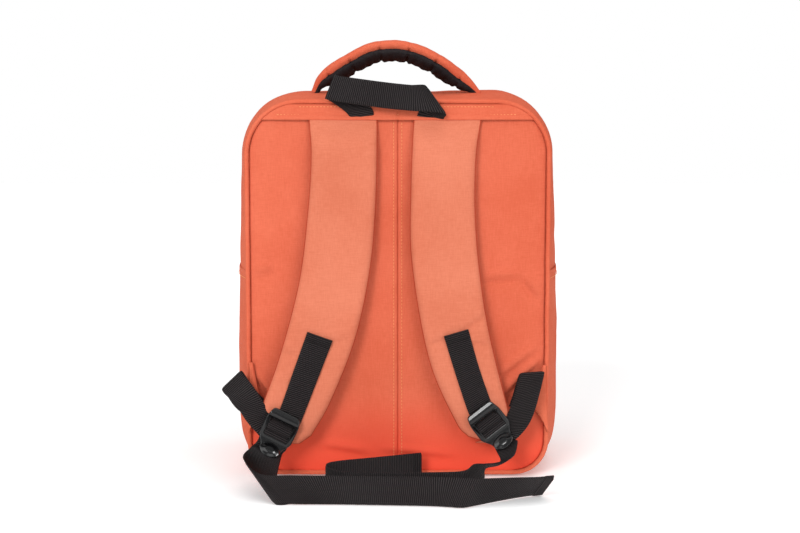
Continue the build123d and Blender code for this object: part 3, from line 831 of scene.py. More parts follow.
def through(points, count):
    """Evenly spaced points on a smooth curve through the given ones."""
    dense = curve_through([Vector(p) for p in points], 24)
    lengths = [0.0]
    for a, b in zip(dense, dense[1:]):
        lengths.append(lengths[-1] + (b - a).length)
    result = []
    at = 0
    for i in range(count):
        target = lengths[-1] * i / (count - 1)
        while at + 2 < len(lengths) and lengths[at + 1] < target:
            at += 1
        t = (target - lengths[at]) / max(lengths[at + 1] - lengths[at], 1e-9)
        result.append(dense[at].lerp(dense[at + 1], min(t, 1)))
    return result


def on_strap(x, z, out):
    """A place on the strap, by its x, its height and its distance off the pack side."""
    down = (strap_root.z - z) / math.cos(strap_lean)
    return strap_root + Vector((x, 0, 0)) + strap_down * down + strap_out * out


strap_wrinkles = {
    "left": (
        ((-0.104, 0.118), (-0.122, 0.104), 0.0014, 0.005),
        ((-0.092, 0.157), (-0.048, 0.166), 0.0009, 0.006),
        ((-0.135, 0.150), (-0.112, 0.146), 0.0011, 0.005),
        ((-0.098, 0.388), (-0.060, 0.378), 0.0008, 0.007),
    ),
    "right": (
        ((0.072, 0.176), (0.098, 0.190), 0.0013, 0.005),
        ((0.034, 0.158), (0.056, 0.166), 0.0011, 0.005),
        ((0.078, 0.160), (0.102, 0.158), 0.0010, 0.005),
        ((0.088, 0.112), (0.112, 0.098), 0.0011, 0.005),
        ((0.024, 0.380), (0.060, 0.372), 0.0008, 0.007),
    ),
}


def pad_swell(side, x, z, inwards):
    """How round the facing cloth is at a distance in from the edge, and its creases."""
    crown = min(1.0, inwards / pad_shoulder)
    crown = math.sqrt(max(0.0, 1 - (1 - crown) ** 2))
    ease = 0.0007 * cloth_noise(x, 0, z, 26, 4 if side == "left" else 6)
    ease += 0.00035 * cloth_noise(x, 0, z, 80, 3)
    ease += sum(crease(x, z, *fold) for fold in strap_wrinkles[side])
    return crown, ease * crown


def pad_middle(z):
    """How far the pad's knife seam stands off, less where the yoke holds it."""
    return -0.0006 + (pad_thickness * 0.45 + 0.0006) * smooth_step((under_yoke - z) / 0.035)


pad_rows = 170
pad_columns = 44
foot_rows = 26
pad_face_highest = 0.0121
millimetre = 0.001
for side, (outer_points, inner_points, outer_foot, foot) in strap_edges.items():
    toe_x, toe_z = foot
    outer_foot_points = (outer_points[-1], outer_foot, (toe_x - 8, toe_z + 2))
    inner_foot_points = (inner_points[-1], (toe_x + 8, toe_z + 2))
    outer = through([Vector(p) * millimetre for p in outer_points], pad_rows - foot_rows)
    inner = through([Vector(p) * millimetre for p in inner_points], pad_rows - foot_rows)
    outer += through([Vector(p) * millimetre for p in outer_foot_points], foot_rows + 1)[1:]
    inner += through([Vector(p) * millimetre for p in inner_foot_points], foot_rows + 1)[1:]
    middle_line = [(a + b) / 2 for a, b in zip(outer, inner)]
    face, back = np.zeros((pad_rows, pad_columns, 3)), np.zeros((pad_rows, pad_columns, 3))
    for r in range(pad_rows):
        width = (inner[r] - outer[r]).length
        to_foot = (middle_line[r] - middle_line[-1]).length
        for c in range(pad_columns):
            u = (1 - math.cos(math.pi * c / (pad_columns - 1))) / 2
            place = outer[r].lerp(inner[r], u)
            inwards = min(u * width, (1 - u) * width, to_foot + 0.0004)
            crown, ease = pad_swell(side, place.x, place.y, inwards)
            full = smooth_step((under_yoke - place.y) / 0.030) ** 0.6
            middle = pad_middle(place.y)
            puff = (pad_thickness * 0.55 - 0.0003) * crown * (0.16 + 0.84 * full)
            above = min(middle + puff + ease * full, pad_face_highest)
            below = middle - pad_thickness * 0.42 * crown * full - 0.0002
            face[r, c] = on_strap(place.x, place.y, above)
            back[r, c] = on_strap(place.x, place.y, below)
    loop = np.concatenate([face, back[:, ::-1]], axis=1)
    pad = surface(f"{side}_strap_pad", loop, strap_cloth, wrap_columns=True, span=(0.16, 0.38), caps=True)
    face_outwards(pad)
    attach(pad, f"{side}_shoulder_strap")
    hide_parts(f"{side}_strap_facing", f"{side}_strap_foam", f"{side}_strap_backing")

    # The knife seam stands off the edge as a thin lip, coloured deep red as a painted shadow line between
    # pad and panel.
    rim = outer + inner[::-1]
    seam_points = [on_strap(p.x, p.y, pad_middle(p.y)) for p in rim]
    lip = tube(f"{side}_strap_seam", seam_points, lambda i: 0.0008, seam_shadow_cloth, sides=8)
    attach(lip, f"{side}_shoulder_strap")

# ------------------------------------------------------------------ webbing
# Black 30 mm polypropylene webbing, 1.6 mm thick, ribbed across every 2.1 mm.
# It is sewn on each strap, folds over at the wings and threads the locks.
webbing_thickness = 0.0016
rib_pitch = 0.0021
wale_pitch = 0.0024
lowest_webbing = 0.0003


def make_webbing():
    """Black ribbed webbing, drawn from its own width and length in metres, with painted shade in its
    grooves.
    """
    material, nodes, links, shader = new_material("black_webbing")
    place = nodes.new("ShaderNodeUVMap")
    place.uv_map = "metres"
    split = nodes.new("ShaderNodeSeparateXYZ")
    links.new(place.outputs["UV"], split.inputs[0])
    wale = math_node(nodes, links, "MULTIPLY", split.outputs["X"], 2 * math.pi / wale_pitch)
    wale = math_node(nodes, links, "SINE", wale)
    shift = math_node(nodes, links, "SIGN", wale)
    rib = math_node(nodes, links, "MULTIPLY", split.outputs["Y"], 2 * math.pi / rib_pitch)
    rib = math_node(nodes, links, "MULTIPLY_ADD", shift, 0.25, rib)
    rib = math_node(nodes, links, "SINE", rib)
    ridge = math_node(nodes, links, "ABSOLUTE", wale)
    height = math_node(nodes, links, "MULTIPLY_ADD", ridge, 0.5, rib)
    fuzz = nodes.new("ShaderNodeTexNoise")
    fuzz.inputs["Scale"].default_value = 700
    fuzz.inputs["Detail"].default_value = 3
    height = math_node(nodes, links, "ADD", height, fuzz.outputs["Fac"])
    # The colour follows the rib height: darker in the grooves as painted shade, lighter on the crests, plus
    # a random fuzz of tone.
    dye = nodes.new("ShaderNodeValToRGB")
    dye.color_ramp.elements[0].color = (0.0008, 0.0006, 0.0007, 1)
    dye.color_ramp.elements[1].color = (0.066, 0.053, 0.055, 1)
    spread = math_node(nodes, links, "MULTIPLY_ADD", height, 0.42, 0.02)
    links.new(spread, dye.inputs["Fac"])
    links.new(dye.outputs["Color"], shader.inputs["Base Color"])
    add_relief(nodes, links, shader, height, 1.0, 0.0007)
    shader.inputs["Roughness"].default_value = 0.55
    shader.inputs["Specular IOR Level"].default_value = 0.22
    return material


webbing = make_webbing()


def ribbon(name, edges, body, hem_start=0.0, hem_end=0.0, thickness=webbing_thickness):
    """Webbing through pairs of edge points in millimetres, with real ribs."""
    pairs = [(Vector(a) * 0.001, Vector(b) * 0.001) for a, b in edges]
    middles = [(a + b) / 2 for a, b in pairs]
    total = sum((q - p).length for p, q in zip(middles, middles[1:]))
    count = max(8, int(total / (rib_pitch / 2)))
    knots = [(*((a + b) / 2), *((b - a) / 2)) for a, b in pairs]
    stations = smooth_stations(knots, count)
    columns = 12
    grid = np.zeros((count, 2 * columns, 3))
    lengths = [0.0]
    for a, b in zip(stations, stations[1:]):
        lengths.append(lengths[-1] + (b[0] - a[0]).length)
    for i, (centre, half) in enumerate(stations):
        ahead = stations[min(i + 1, count - 1)][0]
        behind = stations[max(i - 1, 0)][0]
        normal = half.cross(ahead - behind).normalized()
        doubled = smooth_step((lengths[i] - lengths[-1] + hem_end) / 0.0015) if hem_end else 0
        doubled += smooth_step((hem_start - lengths[i]) / 0.0015) if hem_start else 0
        rib = 1 + 0.24 * (-1) ** i
        thick = thickness * (1 + 1.7 * doubled) * rib / 2
        for c in range(columns):
            s = 2 * c / (columns - 1) - 1
            beyond = max(0.0, (abs(s) - 0.9) / 0.1)
            edge = math.sqrt(max(0.0, 1 - beyond**2)) * 0.85 + 0.15
            scallop = 1 + 0.006 * (-1) ** i * abs(s)
            at = centre + half * s * scallop
            grid[i, c] = at + normal * thick * edge
            grid[i, 2 * columns - 1 - c] = at - normal * thick * edge
    grid[:, :, 2] = np.maximum(grid[:, :, 2], lowest_webbing)
    piece = surface(name, grid, webbing, wrap_columns=True, caps=True)
    width = 2 * stations[0][1].length
    layer = piece.data.uv_layers["metres"]
    for polygon in piece.data.polygons:
        for corner in polygon.loop_indices:
            vertex = piece.data.loops[corner].vertex_index
            row, column = divmod(vertex, 2 * columns)
            across = min(column, 2 * columns - 1 - column) / (columns - 1)
            layer.data[corner].uv = (across * width, lengths[row])
    face_outwards(piece)
    if body:
        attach(piece, body)
    return piece


def smooth_stations(knots, count):
    """Evenly spaced middles and half widths on a curve through the knots."""
    dense = curve_through([np.array(k) for k in knots], 40)
    lengths = [0.0]
    for a, b in zip(dense, dense[1:]):
        lengths.append(lengths[-1] + float(np.linalg.norm((b - a)[:3])))
    rows = np.array(dense)
    targets = np.linspace(0, lengths[-1], count)
    columns = [np.interp(targets, lengths, rows[:, k]) for k in range(6)]
    return [(Vector(row[:3]), Vector(row[3:])) for row in np.array(columns).T]


def pad_place(x, z, out=0.0134):
    """Webbing points on a strap's face, in millimetres."""
    return tuple(on_strap(x * 0.001, z * 0.001, out) * 1000)


def off_strap(point):
    """The direction that a strap's face looks in."""
    return strap_out


strap_webbing_edges = {
    "left": (
        ((-100, 170), (-72, 160)),
        ((-115, 128), (-88, 119)),
        ((-130, 86), (-104, 78)),
        ((-138, 68), (-112, 58)),
    ),
    "right": (
        ((51, 165), (78, 173)),
        ((64, 123), (89, 134)),
        ((78, 81), (102, 96)),
        ((87, 64), (110, 80)),
    ),
}
tack_height = 0.0156
for side, edges in strap_webbing_edges.items():
    points = [(pad_place(*a), pad_place(*b)) for a, b in edges]
    belt = ribbon(f"{side}_strap_belt", points, f"{side}_shoulder_strap", hem_start=0.009)
    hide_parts(f"{side}_strap_webbing")
    top_left, top_right = Vector(edges[0][0]), Vector(edges[0][1])
    down = (Vector(edges[1][0]) - top_left).normalized()
    for index, drop in enumerate((1.6, 7.4, 8.2)):
        line = []
        for t in np.linspace(0.05, 0.95, 24):
            place = (top_left.lerp(top_right, t) + down * drop) * millimetre
            line.append(on_strap(place.x, place.y, tack_height))
        stitches(
            f"{side}_belt_tack_{index + 1}",
            line,
            off_strap,
            webbing,
            f"{side}_shoulder_strap",
            length=0.0016,
            gap=0.0005,
            radius=0.00035,
        )

# ------------------------------------------------------------------ load webbing
# Sewn in at each wing, folded over at the top and brought down to the lock.
# About 122 mm long each.
load_edges = {
    "left": (
        ((-145, -106, 86), (-166, -106, 68)),
        ((-161, -107, 103), (-183, -107, 82)),
        ((-173, -109, 122), (-195, -109, 101)),
        ((-175, -112, 124), (-197, -112, 103)),
        ((-172, -115, 120), (-194, -115, 99)),
        ((-162, -121, 110), (-185, -121, 92)),
        ((-149, -124, 90), (-176, -124, 81)),
        ((-142, -127, 78), (-167, -128, 69)),
        ((-129, -130, 72), (-151, -130, 51)),
    ),
    "right": (
        ((125, -105, 82), (151, -105, 91)),
        ((130, -106, 98), (157, -106, 104)),
        ((135, -109, 117), (162, -109, 120)),
        ((137, -112, 121), (164, -112, 123)),
        ((135, -115, 115), (163, -115, 118)),
        ((129, -121, 96), (159, -121, 104)),
        ((121, -125, 75), (152, -125, 80)),
        ((112, -128, 63), (143, -129, 63)),
        ((101, -131, 62), (128, -131, 47)),
    ),
}
for side, edges in load_edges.items():
    belt = ribbon(f"{side}_load_belt", edges, None)
    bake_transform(belt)
    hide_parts(f"{side}_load_webbing")

# ------------------------------------------------------------------ loose tails
# The spare webbing below each lock falls to the floor, folds over and lies
# there on its edge, ending in a sewn hem. Left about 425 mm, right about 400 mm.
tail_edges = {
    "left": (
        ((-146, -130, 70), (-119, -130, 57)),
        ((-152, -131, 58), (-120, -131, 48)),
        ((-157, -132, 48), (-124, -132, 39)),
        ((-163, -136, 43), (-130, -134, 29)),
        ((-166, -186, 43), (-131, -210, 1.5)),
        ((-146, -206, 31), (-112, -216, 1)),
        ((-112, -212, 31), (-88, -217, 1)),
        ((-56, -214, 31), (-52, -218, 1)),
        ((24, -217, 31), (27, -223, 1)),
        ((62, -221, 31), (52, -227, 1)),
        ((81, -224, 31), (68, -230, 1)),
        ((96, -224, 31), (82, -222, 1)),
        ((120, -221, 31), (104, -207, 1)),
        ((146, -215, 30), (131, -190, 1)),
        ((166, -206, 29), (154, -179, 1)),
    ),
    "right": (
        ((96, -130, 66), (121, -130, 48)),
        ((105, -131, 51), (132, -131, 50)),
        ((108, -133, 41), (133, -132, 45)),
        ((113, -150, 32), (128, -144, 35)),
        ((106, -160, 31), (112, -152, 27)),
        ((95, -170, 33), (96, -158, 24)),
        ((82, -184, 36), (93, -174, 14)),
        ((70, -193, 31), (76, -193, 1)),
        ((34, -199, 31), (36, -199, 1)),
        ((-29, -200, 31), (-29, -200, 1)),
        ((-62, -192, 31), (-62, -192, 1)),
        ((-77, -172, 31), (-77, -172, 1)),
        ((-70, -152, 31), (-70, -151, 1)),
        ((-20, -131, 31), (-20, -130, 1)),
        ((26, -112, 31), (26, -112, 1)),
    ),
}
for side, edges in tail_edges.items():
    belt = ribbon(f"{side}_tail_belt", edges, None, hem_end=0.010)
    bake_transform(belt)
    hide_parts(f"{side}_tail")

# ------------------------------------------------------------------ hang loop
# The same webbing makes a loop for a wall hook. Both ends are folded over and
# sewn under the yoke between the straps, so that the loop stands up on edge.
hang_edges = (
    ((-50, -101.5, 401), (-26, -101.5, 406)),
    ((-57, -103.5, 412), (-29, -103.5, 417)),
    ((-74, -105, 424), (-50, -105, 434)),
    ((-80, -108, 427), (-68, -108, 452)),
    ((-69, -111.5, 424), (-60, -111.5, 451)),
    ((-19, -113, 417), (-15, -113, 445)),
    ((10, -113, 414), (13, -113, 442)),
    ((50, -112, 411), (31, -112, 441)),
    ((51, -108.5, 406), (28, -107, 427)),
    ((50, -102, 404), (21, -102, 407)),
)
loop_belt = ribbon("hang_loop_belt", hang_edges, "hang_loop")
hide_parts("hang_loop")

# ------------------------------------------------------------------ ladder locks
# Glossy moulded plastic: a flared plate with one window, a hood over its upper
# edge, a round bar across the window and a dished thumb tab at its lower end.


def make_gloss(name, colour, roughness):
    """Moulded glossy plastic with a clear coat and a faint uneven grain."""
    material = make_plain(name, colour, roughness, 60, 0.00004, coat=0.35)
    shader = material.node_tree.nodes["Principled BSDF"]
    shader.inputs["Coat Roughness"].default_value = 0.06
    shader.inputs["Specular IOR Level"].default_value = 0.3
    return material


lock_plastic = make_gloss("lock_plastic", (0.004, 0.004, 0.0045), 0.22)
lock_height = 0.0148
locks = {"left": ((-0.1333, 0.0575), 26.6), "right": ((0.1045, 0.0650), -38.0)}


def flat_outline(curve, points, rounding):
    """A closed outline in a flat curve, with its corners rounded off."""
    rounded = []
    for before, here, after in zip(points[-1:] + points[:-1], points, points[1:] + points[:1]):
        p, a, b = Vector(here), Vector(before), Vector(after)
        start, end = p + (a - p).normalized() * rounding, p + (b - p).normalized() * rounding
        for i in range(6):
            t = i / 5
            rounded.append(start * (1 - t) ** 2 + p * 2 * t * (1 - t) + end * t**2)
    spline = curve.splines.new("POLY")
    spline.points.add(len(rounded) - 1)
    for point, place in zip(spline.points, rounded):
        point.co = (place.x, place.y, 0, 1)
    spline.use_cyclic_u = True


def lock_body():
    """The lock plate's mesh in its own frame: across, up and out."""
    curve = bpy.data.curves.new("lock_profile", "CURVE")
    curve.dimensions = "2D"
    curve.fill_mode = "BOTH"
    curve.extrude = 0.0011
    curve.bevel_depth = 0.0011
    curve.bevel_resolution = 4
    flank = [(0.0100, -0.0225), (0.0120, -0.0150), (0.0182, -0.0060), (0.0180, 0.0135), (0.0152, 0.0240)]
    outer = [(-x, y) for x, y in flank[::-1]] + flank
    window = [(-0.0148, 0.0148), (0.0148, 0.0148), (0.0148, -0.0075), (-0.0148, -0.0075)]
    flat_outline(curve, outer, 0.0028)
    flat_outline(curve, window, 0.0016)
    shape = bpy.data.objects.new("lock_profile", curve)
    bpy.context.collection.objects.link(shape)
    mesh = bpy.data.meshes.new_from_object(shape.evaluated_get(bpy.context.evaluated_depsgraph_get()))
    bpy.data.objects.remove(shape)
    plate = bmesh.new()
    plate.from_mesh(mesh)
    for vertex in plate.verts:
        v = vertex.co.y
        hood = smooth_step((v - 0.010) / 0.008) * (1 - smooth_step((v - 0.017) / 0.010))
        vertex.co.z += 0.0022 + 0.0034 * hood
        vertex.co.z += 0.0022 * smooth_step((-0.008 - v) / 0.014)
    bar_length = 0.0316
    for up, out, radius in ((0.0045, 0.0026, 0.0019), (-0.0040, 0.0014, 0.0014)):
        bar = bmesh.ops.create_cone(
            plate, cap_ends=True, segments=20, radius1=radius, radius2=radius, depth=bar_length
        )
        for vertex in bar["verts"]:
            x, y, z = vertex.co
            vertex.co = (z, y + up, x + out)
    # The thumb tab is an oval dish, built ring by ring from its middle outwards.
    dish = (
        (0.15, 0.0060), (0.35, 0.0062), (0.62, 0.0070), (0.80, 0.0084),
        (0.90, 0.0087), (0.97, 0.0078), (1.0, 0.0058), (0.97, 0.0014), (0.6, 0.0010),
    )
    tab_centre, tab_half_width, tab_half_height = -0.0195, 0.0122, 0.0078
    tab_sides = 40
    previous = None
    for fraction, out in dish:
        ring = []
        for k in range(tab_sides):
            angle = 2 * math.pi * k / tab_sides
            across = tab_half_width * fraction * math.cos(angle)
            along = tab_centre + tab_half_height * fraction * math.sin(angle)
            lean = 0.0012 * math.sin(angle)
            ring.append(plate.verts.new((across, along, out - lean * fraction)))
        if previous is None:
            plate.faces.new(ring)
        else:
            for k in range(tab_sides):
                following = (k + 1) % tab_sides
                plate.faces.new((previous[k], ring[k], ring[following], previous[following]))
        previous = ring
    plate.faces.new(previous[::-1])
    for face in plate.faces:
        face.smooth = True
    bmesh.ops.recalc_face_normals(plate, faces=plate.faces)
    plate.to_mesh(mesh)
    plate.free()
    return mesh


wrap_path = (
    (13.0, -0.2), (10.6, 1.2), (8.2, 4.2), (5.0, 5.6), (2.0, 4.4), (0.4, 2.6), (-0.6, 3.0),
    (-2.4, 4.6), (-4.6, 4.8), (-6.4, 3.4), (-7.6, 1.0), (-9.0, -0.6),
)
wrap_half_width = 14.1
lock_mesh = lock_body()
for side, ((lock_x, lock_z), turn) in locks.items():
    angle = math.radians(turn)
    level = Vector((1, 0, 0))
    up_strap = -strap_down
    across = level * math.cos(angle) - up_strap * math.sin(angle)
    upward = level * math.sin(angle) + up_strap * math.cos(angle)
    centre = on_strap(lock_x, lock_z, lock_height)

    def in_lock(u, v, w):
        """A place in this lock's own frame: across, up and out."""
        return centre + across * u + upward * v + strap_out * w

    mesh = lock_mesh.copy()
    for vertex in mesh.vertices:
        vertex.co = in_lock(*vertex.co)
    mesh.materials.clear()
    mesh.materials.append(lock_plastic)
    lock = bpy.data.objects.new(f"{side}_lock_moulding", mesh)
    bpy.context.collection.objects.link(lock)
    face_outwards(lock)
    soften = lock.modifiers.new("corners", "EDGE_SPLIT")
    soften.split_angle = math.radians(50)
    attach(lock, f"{side}_ladder_lock")
    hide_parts(f"{side}_ladder_lock")
    edges = []
    for up, out in wrap_path:
        pair = [Vector((u, up, out)) * millimetre for u in (-wrap_half_width, wrap_half_width)]
        edges.append([tuple(in_lock(*place) / millimetre) for place in pair])
    wrap = ribbon(f"{side}_wrap_belt", edges, f"{side}_ladder_lock", thickness=0.0014)
    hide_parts(f"{side}_webbing_wrap")

# ------------------------------------------------------------------ carry handle
# A padded coral roll over a black binding that is gathered along its inner
# side. It is flattened towards its sewn ends and leans back a little.
binding_cloth = make_cloth(
    "black_binding", (0.012, 0.010, 0.011), (0.030, 0.025, 0.026), 0.75, 1300, 0.00018
)
handle_line = (
    (-95, 434), (-87, 446), (-70, 457), (-49, 469), (-31, 478), (-14, 481),
    (2, 481), (23, 476), (45, 465), (66, 451), (82, 441), (92, 432),
)
handle_tucks = (-53, -20, 12, 42, -78, 70)
handle_roll = math.radians(14)
handle_centre = -0.045


def padded_arch(name, offset, half_width, half_height, material, gather, sides=36, steps=240):
    """An oval tube along the handle's line, pinched at its tucks and ends."""
    line = through([Vector(p) * 0.001 for p in handle_line], steps)
    grid = np.zeros((steps, sides, 3))
    for i, place in enumerate(line):
        ahead, behind = line[min(i + 1, steps - 1)], line[max(i - 1, 0)]
        forward = (ahead - behind).normalized()
        out = Vector((-forward.y, 0, forward.x))
        wide = Vector((0, 1, 0))
        rolled_wide = wide * math.cos(handle_roll) - out * math.sin(handle_roll)
        rolled_out = out * math.cos(handle_roll) + wide * math.sin(handle_roll)
        end = min(i, steps - 1 - i) / (steps - 1)
        spread = 0.13 + 0.87 * smooth_step((place.y - 0.434) / 0.030)
        plump = 0.40 + 0.60 * smooth_step(end / 0.15)
        pinch = sum(bump_at(place.x * 1000, tuck, 1.8) for tuck in handle_tucks)
        for k in range(sides):
            angle = 2 * math.pi * k / sides
            across, up = math.cos(angle), math.sin(angle)
            ripple = 1 + gather * math.sin(i * 0.55 + 2.2 * across)
            ripple += 0.8 * gather * math.sin(i * 0.23 + 4 * across)
            swell = 1 - 0.45 * pinch * smooth_step((0.9 - up) / 0.9)
            at = Vector((place.x, handle_centre, place.y))
            at += rolled_wide * across * half_width * spread * (1 - 0.05 * pinch)
            at += rolled_out * (offset * plump + up * half_height * plump * swell * ripple)
            grid[i, k] = at
    piece = surface(name, grid, material, wrap_columns=True, span=(0.09, 0.24), caps=True)
    face_outwards(piece)
    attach(piece, "carry_handle")
    return piece


handle_roll_cover = padded_arch("handle_padded_cover", 0.0030, 0.0170, 0.0080, coral_cloth, 0.012)
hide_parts("handle_cover", "handle_core")
handle_gathers = padded_arch("handle_gathered_binding", -0.0050, 0.0162, 0.0062, binding_cloth, 0.075)
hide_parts("handle_binding")

# ------------------------------------------------------------------ front rim
# A flat frame of coral cloth round the lid opening, with the outer half of the
# main zipper sewn to it.
lid_half, lid_low, lid_high, lid_radius = 0.152, 0.036, 0.408, 0.032
front_y = 0.097


def arch_points(half, low, high, radius, step=0.003):
    """Points up the left side, over the top and down the right side."""
    corner_steps = 12
    flat, rise = half - radius, high - radius - low
    up_steps, across_steps = int(rise / step), int(2 * flat / step)
    up = [(-half, low + rise * i / up_steps) for i in range(up_steps)]
    over = [(-flat + 2 * flat * i / across_steps, high) for i in range(across_steps)]
    down = [(half, high - radius - rise * i / up_steps) for i in range(up_steps + 1)]
    corners = []
    for centre_x, start in ((-flat, math.pi), (flat, math.pi / 2)):
        turns = [start - math.pi / 2 * i / corner_steps for i in range(corner_steps)]
        corners.append(
            [(centre_x + radius * math.cos(a), high - radius + radius * math.sin(a)) for a in turns]
        )
    return up + corners[0] + over + corners[1] + down


def arch_half_width(z, half, high, radius, inset):
    """Half the width of an arch-topped opening at a height."""
    rise = z - (high - radius)
    if rise <= 0:
        return half - inset
    return half - radius + math.sqrt(max((radius - inset) ** 2 - rise**2, 0))


def framed(name, y, half, low, high, radius, outer_at, material, body):
    """A cloth frame between an arched opening and whatever lies outside it."""
    inner = arch_points(half, low, high, radius)
    inner += [(half - 2 * half * i / 60, low) for i in range(1, 60)]
    rings = 9
    grid = np.zeros((len(inner), rings, 3))
    for i, (x, z) in enumerate(inner):
        far_x, far_z = outer_at(x, z)
        for c in range(rings):
            t = c / (rings - 1)
            puff = 0.0008 * math.sin(math.pi * t) + 0.0003 * cloth_noise(x, t, z, 30, 2)
            grid[i, c] = (x + (far_x - x) * t, y + puff, z + (far_z - z) * t)
    piece = surface(name, grid, material, wrap_rows=True, span=(0.02, 1.4))
    thicken(piece, 0.0016, lining_cloth)
    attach(piece, body)
    return piece


def seam_outside(x, z):
    """The place on the piping seam straight out from the lid's opening."""
    for scale in np.linspace(1.6, 1.0, 240):
        place_x, place_z = x * scale, panel_middle_z + (z - panel_middle_z) * scale
        inside = seam_low + panel_inset < place_z < seam_high - panel_inset
        if inside and abs(place_x) < outline_half_width(place_z, panel_inset):
            return place_x, place_z
    return x, z


rim = framed(
    "front_rim_cloth", front_y, lid_half, lid_low, lid_high, lid_radius, seam_outside, coral_cloth, "bag"
)
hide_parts("front_rim")

# ------------------------------------------------------------------ zippers
# Each zipper is two nylon coils on narrow black tapes; a lacquered slider runs
# on the outer one, with a moulded puller on its bridge.
coil_nylon = make_plain("zipper_nylon", (0.020, 0.020, 0.021), 0.42, 500, 0.00004)
tape_half_width = 0.0014
tape_profile = (
    (-1, 0), (-0.9, 0.35), (0, 0.4), (0.9, 0.35), (1, 0), (0.9, -0.35), (0, -0.4), (-0.9, -0.35),
)
slider_lacquer = make_plain("slider_lacquer", (0.030, 0.030, 0.032), 0.3, 200, 0.00003, coat=0.4)


def coil(name, places, y, body, replaced):
    """A nylon coil, wound turn by turn along its path, on a narrow tape."""
    pitch, radius, wire, sides, turn_steps = 0.0024, 0.00105, 0.00034, 5, 8
    line = through(places, len(places))
    total = sum((b - a).length for a, b in zip(line, line[1:]))
    steps = int(total / pitch * turn_steps)
    dense = through(places, steps)
    grid = np.zeros((steps, sides, 3))
    for i, place in enumerate(dense):
        forward = (dense[min(i + 1, steps - 1)] - dense[max(i - 1, 0)]).normalized()
        side = Vector((forward.y, 0, -forward.x))
        angle = 2 * math.pi * i / turn_steps
        centre = Vector((place.x, y, place.y)) + side * radius * math.cos(angle)
        centre.y += radius * 0.8 * math.sin(angle)
        outward = (side * math.cos(angle) + Vector((0, 1, 0)) * math.sin(angle)).normalized()
        along = Vector((forward.x, 0, forward.y))
        for k in range(sides):
            turn = 2 * math.pi * k / sides
            grid[i, k] = centre + (outward * math.cos(turn) + along * math.sin(turn)) * wire
    piece = surface(name, grid, coil_nylon, wrap_columns=True, caps=True)
    face_outwards(piece)
    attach(piece, body)
    tape_rows = len(places)
    tape_grid = np.zeros((tape_rows, len(tape_profile), 3))
    for i, place in enumerate(line):
        forward = (line[min(i + 1, tape_rows - 1)] - line[max(i - 1, 0)]).normalized()
        side = Vector((forward.y, 0, -forward.x))
        for k, (s, out) in enumerate(tape_profile):
            middle = Vector((place.x, y - 0.0010 + out * 0.001, place.y))
            tape_grid[i, k] = middle + side * s * tape_half_width
    tape = surface(name + "_tape", tape_grid, webbing, wrap_columns=True, caps=True, span=(0.006, 1.0))
    face_outwards(tape)
    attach(tape, body)
    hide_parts(replaced)


flap_half, flap_low, flap_high, flap_radius = 0.100, 0.090, 0.268, 0.022
pocket_y = 0.123
lid_opening = (lid_half, lid_low, lid_high, lid_radius, front_y)
flap_opening = (flap_half, flap_low, flap_high, flap_radius, pocket_y)
for name, opening, apart, body in (
    ("rim", lid_opening, 0.0016, "bag"),
    ("lid", lid_opening, -0.0018, "front_lid"),
    ("pocket", flap_opening, 0.0016, "front_lid"),
    ("flap", flap_opening, -0.0018, "pocket_flap"),
):
    half, low, high, radius, y = opening
    places = arch_points(half + apart, low + 0.002, high + apart, radius + apart)
    coil(f"{name}_coil_winding", places, y + 0.0012, body, f"{name}_zipper_coil")


def rounded_copy(node, material, width):
    """A CAD part with its edges rounded off, in its own finish."""
    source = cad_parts[node]
    mesh = source.data.copy()
    piece = bpy.data.objects.new(f"{node}_casting", mesh)
    piece.matrix_world = source.matrix_world.copy()
    bpy.context.collection.objects.link(piece)
    shell = bmesh.new()
    shell.from_mesh(mesh)
    bmesh.ops.remove_doubles(shell, verts=shell.verts, dist=0.00002)
    bmesh.ops.dissolve_limit(shell, angle_limit=math.radians(4), verts=shell.verts, edges=shell.edges)
    shell.to_mesh(mesh)
    shell.free()
    mesh.materials.clear()
    mesh.materials.append(material)
    bevel = piece.modifiers.new("rounding", "BEVEL")
    bevel.width = width
    bevel.segments = 3
    bevel.limit_method = "ANGLE"
    bevel.angle_limit = math.radians(35)
    for polygon in mesh.polygons:
        polygon.use_smooth = True
    return piece


for part in ("main_slider", "pocket_slider", "main_puller", "pocket_puller"):
    casting = rounded_copy(part, slider_lacquer, 0.0003)
    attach(casting, part)
    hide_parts(part)

# ------------------------------------------------------------------ front lid
# The lid is coral cloth over foam and is a little crowned. Its pocket stands
# 26 mm proud, with a zipped flap and a reflective strip across it.


def crowned_panel(name, y, opening, inset, crown, material, body, seed):
    """An arch-topped cloth panel that bellies out and has slight creases."""
    half, low, high, radius = opening

    def panel_place(s, t):
        z = low + inset + (high - low - 2 * inset) * t
        x = (2 * s - 1) * arch_half_width(z, half, high, radius, inset)
        rise = (1 - (2 * s - 1) ** 4) * (1 - (2 * t - 1) ** 6)
        return x, y + rise * (crown + 0.0006 * cloth_noise(x, z, seed, 24, seed)), z

    panel = surface(name, grid_of(90, 71, panel_place), material, span=(2 * half, high - low))
    panel.data.flip_normals()
    thicken(panel, 0.0016, lining_cloth)
    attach(panel, body)
    return panel


lid = crowned_panel(
    "lid_cloth", front_y, lid_opening[:4], 0.0006, 0.0012, coral_cloth, "front_lid", 3
)
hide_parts("lid_panel")
lid_lining = crowned_panel(
    "lid_lining_cloth", 0.0948, lid_opening[:4], 0.006, -0.0036, lining_cloth, "front_lid", 9
)
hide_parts("lid_foam")
flap = crowned_panel(
    "flap_cloth", pocket_y, flap_opening[:4], 0.0006, 0.0010, coral_cloth,
    "pocket_flap", 5,
)
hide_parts("flap_panel")

wall_half, wall_half_height, wall_middle, wall_radius = 0.110, 0.100, 0.180, 0.024


